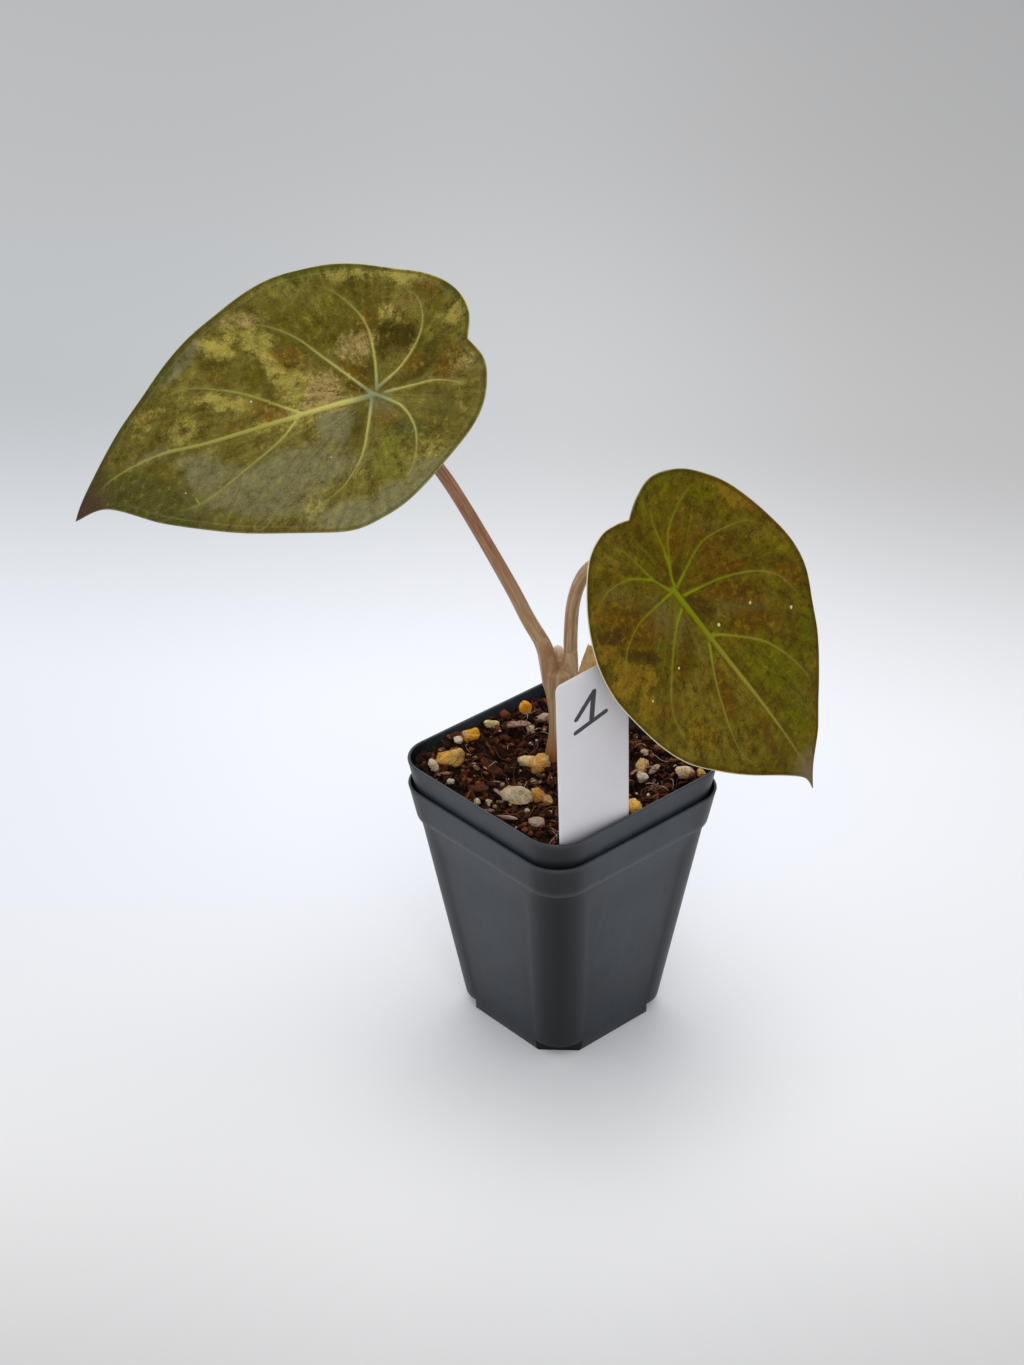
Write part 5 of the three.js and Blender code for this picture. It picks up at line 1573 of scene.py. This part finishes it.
def fibres_mesh(settings):
    """Loose coir fibres that curl over the soil, the first few tightly in one tuft."""
    rng = random.Random(settings.seed + 3)
    half, corner = soil_outline(SOIL_LEVEL)
    parts = []
    for index in range(settings.fibres):
        curled = index < TUFT_FIBRES
        if curled:
            x, y = (rng.gauss(middle, 1.6) for middle in TUFT_PLACE)
        else:
            x, y = in_pot(rng, 4)
        aim, bend = rng.uniform(0, 2 * math.pi), rng.uniform(-0.5, 0.5) * (1.5 if curled else 0.7)
        lift, arch = rng.uniform(0.6, 1.7), rng.uniform(0, 1.6)
        steps = rng.randint(8, 14)
        stride = rng.uniform(0.25, 0.45) if curled else rng.uniform(0.35, 0.85)
        path = []
        for step in range(steps):
            x = max(-half + 1, min(half - 1, x + stride * math.cos(aim)))
            y = max(-half + 1, min(half - 1, y + stride * math.sin(aim)))
            if abs(x) + abs(y) > 2 * half - corner:
                x, y = x * 0.97, y * 0.97
            aim += bend * rng.uniform(0.4, 1.4)
            above = lift + arch * math.sin(step / (steps - 1) * math.pi)
            path.append(np.array([x, y, soil_height(x, y) + above]))
        if any(near_stem(end[0], end[1], 5) for end in (path[0], path[-1])):
            continue
        width = rng.uniform(0.07, 0.16)
        radii = [width * (1 - 0.6 * abs(2 * k / (steps - 1) - 1) ** 3) for k in range(steps)]
        verts, faces, *_ = tube(path, radii, 5)
        tone = rng.uniform(0.7, 1.0) if curled else rng.random() ** 1.8
        parts.append((verts, faces, [tone] * len(verts)))
    verts, faces, (tone,) = joined(parts)
    return new_piece("soil_fibres", verts, faces, numbers={"tone": tone})


# Each stalk: its blade, its radii at the foot and at the blade, and points along its middle.
LARGE_STALK = {"leaf": LARGE_LEAF, "radii": (2.4, 1.75), "points": [
    (-7.1, 2.4, 108), (-7.3, 1.6, 113.2), (-7.9, 0.2, 120.6), (-10.3, -3.6, 130.1),
    (-13.2, -7.9, 141.9), (-20.1, -18.4, 167.8), (-23.5, -23.4, 178.9), (-28.6, -30, 190.5),
]}
SMALL_STALK = {"leaf": SMALL_LEAF, "radii": (2.1, 1.8), "points": [
    (-3.1, 6.4, 108), (-3.2, 6.3, 117.5), (-3, 6, 123), (-0.8, 5, 136.3), (2.8, 4.6, 145.5),
    (7.7, 4, 151.8), (14, 4, 156.5), (22, 4, 159.8), (31, 3.9, 159.6),
]}
STALK_STEPS = 150
# The stem base's oval section: height and two half widths, turned by the angle below.
STEM_PROFILE = [
    (72, 2.2, 2.2), (74, 3.9, 3.9), (78.5, 4.9, 4.9), (83, 4.3, 4.3), (90, 3.3, 3.4),
    (97, 3.3, 3.4), (103, 4.1, 3.6), (108.5, 5.1, 3.9), (113, 5.6, 3.9),
]
STEM_TURN = 48


def stalk_course(stalk):
    """The stalk's middle line up to the blade, as the solid stalk has it, and its radii."""
    leaf, (start, end) = stalk["leaf"], stalk["radii"]
    normal = leaf_axes(leaf)[2]
    tip = np.array(leaf["hub"], float) - (leaf["dimple"] + 1.5) * normal
    path = centripetal([*stalk["points"], tuple(tip)], STALK_STEPS)
    shares = [(1 - i / STALK_STEPS) ** 2 for i in range(STALK_STEPS + 1)]
    return path, [start + (end - start) * (1 - share) for share in shares]


def stalk_mesh(name, stalk, redness, seed):
    """A leaf stalk: faintly ridged, with a flare where it carries the blade."""
    path, radii = stalk_course(stalk)
    total = np.linalg.norm(np.diff(path, axis=0), axis=1).sum()
    for i in range(STALK_STEPS + 1):
        left = total * (1 - i / STALK_STEPS)
        radii[i] *= 1 + 0.4 * math.exp(-left / 1.6) + 0.1 * math.exp(-((left - 6) / 5) ** 2)
        begun = total * i / STALK_STEPS
        radii[i] *= 0.62 + 0.38 * float(smooth((begun - 4) / 9))

    def wave(angle, gone):
        ridge = 0.012 * math.sin(9 * angle + 0.02 * gone) + 0.008 * math.sin(17 * angle - 0.05 * gone)
        uneven = noise.noise(Vector((math.cos(angle), math.sin(angle), gone * 0.12 + seed)))
        return 1 + ridge + 0.02 * uneven

    verts, faces, around, lengths = tube(path, radii, 36, wave)
    shades = {
        "green_end": [float(smooth((share * total - total + 9) / 9)) for share in lengths],
        "upper": [redness * float(smooth((share * total - 14) / 45)) for share in lengths],
        "foot": np.zeros(len(lengths)),
    }
    grain = [(c * 1.8 + seed, s * 1.8, along) for c, s, along in around]
    return new_piece(name, verts, faces, numbers=shades, vectors={"grain": grain})


def stem_centre(z):
    """The stem base's middle at a height: it leans a little."""
    k = (z - 82) / 30
    return STEM_PLACE[0] + 1.9 * k, STEM_PLACE[1] - 1.4 * k


def stem_wrap():
    """The wrapped sheaths: an oval body, with an overlap that runs up one side."""
    heights, sides = np.linspace(72.3, 112.6, 60), 40
    profile = np.array(STEM_PROFILE)
    turn = math.radians(STEM_TURN)
    c, s = math.cos(turn), math.sin(turn)
    verts = []
    for z in heights:
        a, b = (np.interp(z, profile[:, 0], profile[:, k]) for k in (1, 2))
        x, y = stem_centre(z)
        for j in range(sides):
            angle = 2 * math.pi * j / sides
            overlap = 0.16 * math.exp(-(((angle - 5.0 - 0.012 * (z - 90)) % (2 * math.pi)) / 0.7) ** 2)
            u, v = (a - 0.25 + overlap) * math.cos(angle), (b - 0.25 + overlap) * math.sin(angle)
            verts.append(np.array([x + u * c - v * s, y + u * s + v * c, z]))
    return verts, ring_faces(len(heights), sides)


def stem_fork(stalk, fuller, last):
    """The foot of one stalk inside the stem base, fuller at first and thinner at its end."""
    path, radii = stalk_course(stalk)
    centres, sizes = [], []
    for z, share in ((99, 0.8), (103, 0.95)):
        centres.append(np.array([*stem_centre(z), z]) * 0.45 + np.array([*path[0][:2], z]) * 0.55)
        sizes.append(stalk["radii"][0] * share)
    for point, radius in zip(path, radii):
        if point[2] < last:
            gone = float(smooth((point[2] - 114) / (last - 115)))
            centres.append(point)
            sizes.append(radius * (1 + fuller - (fuller + 0.22) * gone))
    return tube(centres, sizes, 24)[:2]


def stem_fill():
    """The flesh between the feet of the two stalks."""
    centres, sizes = [], []
    for z in np.linspace(92, 115.5, 20):
        k = smooth((z - 94) / 14)
        centres.append(np.array([*stem_centre(z), z]) * (1 - k) + np.array([-7.1, 4.9, z]) * k)
        sizes.append(float(1.5 + 1.8 * smooth((z - 94) / 12) - 1.2 * smooth((z - 106) / 9.5)))
    return tube(centres, sizes, 24)[:2]


def stem_mesh():
    """The stem base: a wrapped body from which both stalks part, melted into one skin."""
    forks = [stem_fork(LARGE_STALK, 0.14, 141), stem_fork(SMALL_STALK, 0.04, 133)]
    verts, faces, _ = joined([stem_wrap(), *forks, stem_fill()])
    piece = new_piece("stem_body", verts, faces)
    melt = piece.modifiers.new("melt", "REMESH")
    melt.mode = "VOXEL"
    melt.voxel_size = 0.34 * MM
    soften = piece.modifiers.new("soften", "SMOOTH")
    soften.factor = 0.5
    soften.iterations = 22
    settle(piece)
    places = np.array([tuple(v.co) for v in piece.data.vertices]) / MM
    middle = np.array([stem_centre(z) for z in places[:, 2]])
    angles = np.arctan2(places[:, 1] - middle[:, 1], places[:, 0] - middle[:, 0])
    grain = np.stack([np.cos(angles) * 3.0, np.sin(angles) * 3.0, places[:, 2]], axis=1)
    foot = 1 - smooth((places[:, 2] - 84) / 12)
    shades = {"foot": foot, "upper": foot * 0, "green_end": foot * 0}
    add_fields(piece.data, numbers=shades, vectors={"grain": grain})
    piece.data.polygons.foreach_set("use_smooth", [True] * len(piece.data.polygons))
    return piece


def shoot_mesh():
    """The next leaf's rolled point: a soft flattened lobe that ends in a blunt tip."""
    # Middle and half width.
    rows = np.array([(-7.9, 5.7, 108.5, 2.0), (-7.9, 5.7, 112.3, 2.3), (-7.9, 5.7, 115.0, 2.25),
                     (-7.9, 5.6, 117.1, 1.85), (-7.9, 5.6, 118.3, 1.25), (-7.9, 5.6, 118.9, 0.3)])
    path = centripetal([tuple(r[:3]) for r in rows], 40)
    widths = np.interp(path[:, 2], rows[:, 2], rows[:, 3])
    turn = math.radians(STEM_TURN)
    c, s = math.cos(turn), math.sin(turn)
    verts, grain, sides = [], [], 28
    for p, w in zip(path, widths):
        for j in range(sides):
            angle = 2 * math.pi * j / sides
            seam = 1 - 0.12 * math.exp(-((angle - 4.4) / 0.25) ** 2)
            u, v = w * math.cos(angle) * seam, 0.75 * w * math.sin(angle) * seam
            verts.append(p + np.array([u * c - v * s, u * s + v * c, 0]))
            grain.append((math.cos(angle) * 1.6, math.sin(angle) * 1.6, p[2]))
    return new_piece("shoot_point", verts, ring_faces(len(path), sides), vectors={"grain": grain})


def sheath_mesh():
    """The dried sheath: a thin curled flake with a ragged edge and a frayed top."""
    # Middle, half width and the way that it faces.
    rows = np.array([
        (-2.9, 8.6, 90, 1.2, 110), (-2.6, 9.3, 97, 2.2, 95), (-2.6, 10.5, 104, 2.6, 70),
        (-1.9, 11.3, 109.6, 2.7, 55), (-1.3, 12, 115, 2.2, 50), (-1, 12.3, 119.2, 0.9, 48),
    ])
    heights = np.linspace(90, 119.2, 64)
    columns, frayed = 26, 9
    verts, grain = [], []
    for side in (1, -1):
        for i, z in enumerate(heights):
            x, y, half, facing = (np.interp(z, rows[:, 2], rows[:, k]) for k in (0, 1, 3, 4))
            turn = math.radians(facing)
            wide = np.array([math.cos(turn), math.sin(turn), 0])
            thick = np.array([-math.sin(turn), math.cos(turn), 0])
            top = max(i - len(heights) + frayed, 0) / frayed
            for k in range(columns + 1):
                u = 2 * k / columns - 1
                ragged = 1 + 0.16 * noise.noise(Vector((z * 0.45, 3.0 if u > 0 else 9.0, 0)))
                ragged += 0.07 * noise.noise(Vector((z * 1.6, 5.0 if u > 0 else 1.0, 0)))
                curl = 0.34 * half * (u * u - 0.4)
                wrinkle = 0.16 * noise.noise(Vector((u * 3.2, z * 0.12, 4.0)))
                rip = 0.05 * math.sin(u * 16 + z * 0.1)
                depth = side * 0.13 * (1 - 0.6 * u * u) - curl + wrinkle + rip
                rise = top * 1.1 * noise.noise(Vector((u * 4.5, 0.7, 2.0)))
                verts.append(np.array([x, y, z + rise]) + wide * u * half * ragged + thick * depth)
                grain.append((u * half, 0, z))
    faces = sheet_faces(len(heights), columns)
    return new_piece("sheath_flake", verts, faces, vectors={"grain": grain})


class LeafSettings(bpy.types.PropertyGroup):
    midrib_width: FloatProperty(
        name="Midrib width", description="Width of the middle rib at the stalk", default=0.0022,
        min=0.0008, max=0.004, unit="LENGTH")
    vein_width: FloatProperty(
        name="Vein width", description="Width of the side ribs where they start", default=0.0012,
        min=0.0005, max=0.003, unit="LENGTH")
    grid: FloatProperty(
        name="Mesh spacing", description="Distance between the points of the blade", default=0.001,
        min=0.0006, max=0.004, unit="LENGTH")
    gloss: FloatProperty(
        name="Gloss", description="Strength of the blade's reflections", default=0.035, min=0, max=1,
        subtype="FACTOR")


class PotSettings(bpy.types.PropertyGroup):
    rim_width: FloatProperty(
        name="Rim width", description="Width of a pot across its rim", default=2 * POT_TOP_HALF * MM,
        min=0.06, max=0.08, unit="LENGTH")


class SoilSettings(bpy.types.PropertyGroup):
    seed: IntProperty(name="Seed", description="Picks the scatter of the mix", default=23)
    ground_cells: IntProperty(
        name="Ground cells", description="Squares along one side of the ground", default=150,
        min=20, max=220)
    crumbs: IntProperty(
        name="Crumbs", description="Number of coir and peat crumbs", default=2400, min=0, max=2600)
    bark_flakes: IntProperty(
        name="Bark flakes", description="Number of loose bark flakes", default=300, min=0, max=500)
    loose_stones: IntProperty(
        name="Loose stones", description="Number of small pumice stones", default=36, min=0, max=300)
    white_dots: IntProperty(
        name="White dots", description="Number of tiny white grains", default=12, min=0, max=300)
    fibres: IntProperty(
        name="Fibres", description="Number of coir fibres", default=200, min=0, max=600)


class LabelSettings(bpy.types.PropertyGroup):
    width: FloatProperty(
        name="Label width", description="Width of the plastic tag", default=LABEL_WIDTH * MM, min=0.01,
        max=0.03, unit="LENGTH")


class StalkSettings(bpy.types.PropertyGroup):
    pale: FloatVectorProperty(
        name="Pale stripe", description="Colour of the pale stripes", default=srgb("d0ac82")[:3],
        subtype="COLOR")
    dark: FloatVectorProperty(
        name="Dark stripe", description="Colour of the dark stripes", default=srgb("96754f")[:3],
        subtype="COLOR")


class StageSettings(bpy.types.PropertyGroup):
    floor_size: FloatProperty(
        name="Floor size", description="Width of the floor", default=6.0, min=1, max=20, unit="LENGTH")
    sky: FloatProperty(
        name="Room light", description="Strength of the even light from all round", default=0.79,
        min=0, max=4)
    key: FloatProperty(
        name="Key light", description="Power of the big soft light from above", default=6.8, min=0, max=200,
        unit="POWER")


class OBJECT_OT_alocasia_pots(bpy.types.Operator):
    """Builds the two nested nursery pots"""

    bl_idname = "object.alocasia_pots"
    bl_label = "Pots"

    def execute(self, context):
        settings = context.scene.alocasia_pots
        finish = pot_finish()
        dress(pot_mesh("pot_outer_shell", settings, 0.0), finish, "pot_plastic", "outer_pot")
        dress(pot_mesh("pot_inner_shell", settings, NESTING_STEP), finish, "pot_plastic", "inner_pot")
        return {"FINISHED"}


class OBJECT_OT_alocasia_soil(bpy.types.Operator):
    """Builds the soil: ground, crumbs, bark, pumice and fibres"""

    bl_idname = "object.alocasia_soil"
    bl_label = "Soil"

    def execute(self, context):
        settings = context.scene.alocasia_soil
        dress(ground_mesh(settings), crumb_finish("soil_ground"), "soil", "soil")
        dress(crumbs_mesh(settings), crumb_finish("soil_crumbs"), "soil")
        dress(bark_mesh(settings), crumb_finish("soil_bark"), "soil")
        dress(fibres_mesh(settings), crumb_finish("soil_fibres"), "soil")
        dress(stones_mesh(settings), stone_finish(), "soil")
        return {"FINISHED"}


class OBJECT_OT_alocasia_label(bpy.types.Operator):
    """Builds the plastic plant label"""

    bl_idname = "object.alocasia_label"
    bl_label = "Label"

    def execute(self, context):
        dress(label_mesh(context.scene.alocasia_label), label_finish(), "label_plastic", "plant_label")
        return {"FINISHED"}


class OBJECT_OT_alocasia_stalks(bpy.types.Operator):
    """Builds the stem base, both leaf stalks, the new shoot and the dried sheath"""

    bl_idname = "object.alocasia_stalks"
    bl_label = "Stem and stalks"

    def execute(self, context):
        settings = context.scene.alocasia_stalks
        skin = stalk_finish((*settings.pale, 1.0), (*settings.dark, 1.0))
        dress(stalk_mesh("stalk_large_skin", LARGE_STALK, 0.85, 3.1), skin, "stalk", "stalk_large")
        dress(stalk_mesh("stalk_small_skin", SMALL_STALK, 0.2, 7.7), skin, "stalk", "stalk_small")
        dress(stem_mesh(), skin, "stalk", "stem_base")
        dress(shoot_mesh(), shoot_finish(), "shoot", "new_shoot")
        dress(sheath_mesh(), dry_finish(), "dry_sheath", "dried_sheath")
        return {"FINISHED"}


class OBJECT_OT_alocasia_leaves(bpy.types.Operator):
    """Builds the large and the small leaf blade"""

    bl_idname = "object.alocasia_leaves"
    bl_label = "Leaves"

    def execute(self, context):
        settings = context.scene.alocasia_leaves
        large = leaf_mesh(
            "leaf_large_blade", LARGE_LEAF, LARGE_VIEW, LARGE_BLOTCHES, LARGE_FOLDS, settings, 1)
        small = leaf_mesh(
            "leaf_small_blade", SMALL_LEAF, SMALL_VIEW, SMALL_BLOTCHES, SMALL_FOLDS, settings, 2)
        large_skin = leaf_finish(
            "leaf_large_skin", LARGE_COLOURS, settings, LARGE_SPECKS, LARGE_SCRATCH, LARGE_RING)
        small_skin = leaf_finish("leaf_small_skin", SMALL_COLOURS, settings, SMALL_SPECKS)
        dress(large, large_skin, "leaf_large", "leaf_large")
        dress(small, small_skin, "leaf_small", "leaf_small")
        return {"FINISHED"}


def stage_finish():
    """The pale backdrop paper, with painted light and shade: brightest round the plant and fading outwards,
    with a painted shadow round the pot's foot and a painted cool tint.
    """
    f = Finish("backdrop_paper", Roughness=0.9, Specular_IOR_Level=0.1)
    spot = f.node("ShaderNodeTexCoord", output="Object")
    x, y = f.part(spot, 0), f.part(spot, 1)
    behind = y * 0.667 - x * 0.745
    beside = x * 0.667 + y * 0.745
    front = 1 - f.step(behind, -0.1, 0.1)
    # Painted light: a bright plateau round the plant, darker far behind it and to the sides.
    plateau = (1 - f.step(behind + beside * 0.18, 0.15, 0.40)) * f.step(behind, -0.24, -0.04)
    # Painted light: a pool just in front of the pot that lifts the shadow there.
    pool = (beside * beside * -200.0 - (behind + 0.085) ** 2.0 * 400.0).exponent()
    middle = (beside * beside * -60.0).exponent()
    far = f.step(behind, 0.35, 0.75)
    bright = 0.47 - far * 0.03 + plateau * (beside * 0.05 + 0.31) + pool * 0.06
    bright = bright + middle * (0.07 + (1 - front) * (0.03 + plateau * 0.045) - far * 0.06)
    bright = bright - f.step(behind, 0.3, 0.6) * beside * 0.12 - f.step(beside, 0.05, 0.2) * front * 0.035
    # Painted shadow: a soft dark ring round the pot's foot.
    bright = bright - ((x * x + y * y) * -220.0).exponent() * 0.06
    # Painted tint of the cool light: bluer near the plant and far to the left.
    left = (1 - far * 0.7) * (1 - plateau) * f.step(behind, 0.15, 0.4) * (1 - f.step(beside, -0.2, 0.15))
    cool = plateau * (1 - front) * (1 - f.step(beside, 0.02, 0.2) * 0.5)
    green = bright * (cool * 0.028 + left * 0.05 + 0.978)
    blue = bright * (cool * 0.085 + left * 0.08 + 0.975)
    white = f.node("ShaderNodeCombineColor", {}, {0: bright, 1: green, 2: blue})
    return f.into(Base_Color=white)


def add_light(name, place, aim, size, power, colour):
    """A rectangular soft light that points at a place."""
    light = bpy.data.lights.new(name, "AREA")
    light.shape = "RECTANGLE"
    light.size, light.size_y = size
    light.energy = power
    light.color = colour
    lamp = new_object(name, light)
    lamp.location = place
    lamp.rotation_euler = (Vector(aim) - Vector(place)).to_track_quat("-Z", "Y").to_euler()


def photo_camera():
    """The camera at the photograph's place and angle."""
    right, up, ahead = (Vector(axis) for axis in camera_axes())
    data = bpy.data.cameras.new("photo_camera")
    data.sensor_fit = "AUTO"
    data.sensor_width = CAMERA_SENSOR
    data.lens = CAMERA_LENS
    data.clip_end = 30
    camera = new_object("photo_camera", data)
    place = Matrix((right, up, -ahead)).transposed().to_4x4()
    place.translation = Vector(CAMERA_PLACE) * MM
    camera.matrix_world = place
    bpy.context.scene.camera = camera


class OBJECT_OT_alocasia_stage(bpy.types.Operator):
    """Builds the pale floor, the soft studio light and the camera"""

    bl_idname = "object.alocasia_stage"
    bl_label = "Stage"

    def execute(self, context):
        settings = context.scene.alocasia_stage
        half = settings.floor_size / 2
        mesh = bpy.data.meshes.new("backdrop")
        corners = [(-half, -half, 0), (half, -half, 0), (half, half, 0), (-half, half, 0)]
        mesh.from_pydata(corners, [], [(0, 1, 2, 3)])
        mesh.materials.append(stage_finish())
        new_object("backdrop", mesh)
        world = bpy.data.worlds.new("room")
        world.use_nodes = True
        sky = world.node_tree.nodes["Background"].inputs
        sky["Color"].default_value = (0.93, 0.97, 1.0, 1)
        sky["Strength"].default_value = settings.sky
        context.scene.world = world
        add_light("key_light", (-0.5, 0.3, 1.3), (0, 0, 0.08), (1.1, 1.1), settings.key, (1, 0.985, 0.97))
        add_light("front_light", (0.95, -0.75, 0.8), (0, 0, 0.12), (0.9, 0.7), settings.key * 0.6,
                  (1, 0.99, 0.98))
        photo_camera()
        context.scene.view_settings.view_transform = "Standard"
        return {"FINISHED"}


class VIEW3D_PT_alocasia(bpy.types.Panel):
    """Lists what can be built, with the sizes and colours to change"""

    bl_label = "Potted alocasia wentii"
    bl_space_type = "VIEW_3D"
    bl_region_type = "UI"
    bl_category = "Alocasia"

    def draw(self, context):
        for operator in OPERATORS:
            self.layout.operator(operator.bl_idname)
        for key, group in SETTINGS.items():
            box = self.layout.box()
            for field in group.__annotations__:
                box.prop(getattr(context.scene, key), field)


OPERATORS = (
    OBJECT_OT_alocasia_pots, OBJECT_OT_alocasia_soil, OBJECT_OT_alocasia_label,
    OBJECT_OT_alocasia_stalks, OBJECT_OT_alocasia_leaves, OBJECT_OT_alocasia_stage,
)
SETTINGS = {
    "alocasia_pots": PotSettings, "alocasia_soil": SoilSettings, "alocasia_label": LabelSettings,
    "alocasia_stalks": StalkSettings, "alocasia_leaves": LeafSettings, "alocasia_stage": StageSettings,
}


def register():
    for group in (*SETTINGS.values(), *OPERATORS, VIEW3D_PT_alocasia):
        bpy.utils.register_class(group)
    for key, group in SETTINGS.items():
        setattr(bpy.types.Scene, key, PointerProperty(type=group))


def unregister():
    for key in SETTINGS:
        delattr(bpy.types.Scene, key)
    for group in reversed((*SETTINGS.values(), *OPERATORS, VIEW3D_PT_alocasia)):
        bpy.utils.unregister_class(group)


def main():
    register()
    bpy.ops.object.alocasia_pots()
    bpy.ops.object.alocasia_soil()
    bpy.ops.object.alocasia_label()
    bpy.ops.object.alocasia_stalks()
    bpy.ops.object.alocasia_leaves()
    bpy.ops.object.alocasia_stage()
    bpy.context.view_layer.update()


if __name__ == "__main__":
    main()
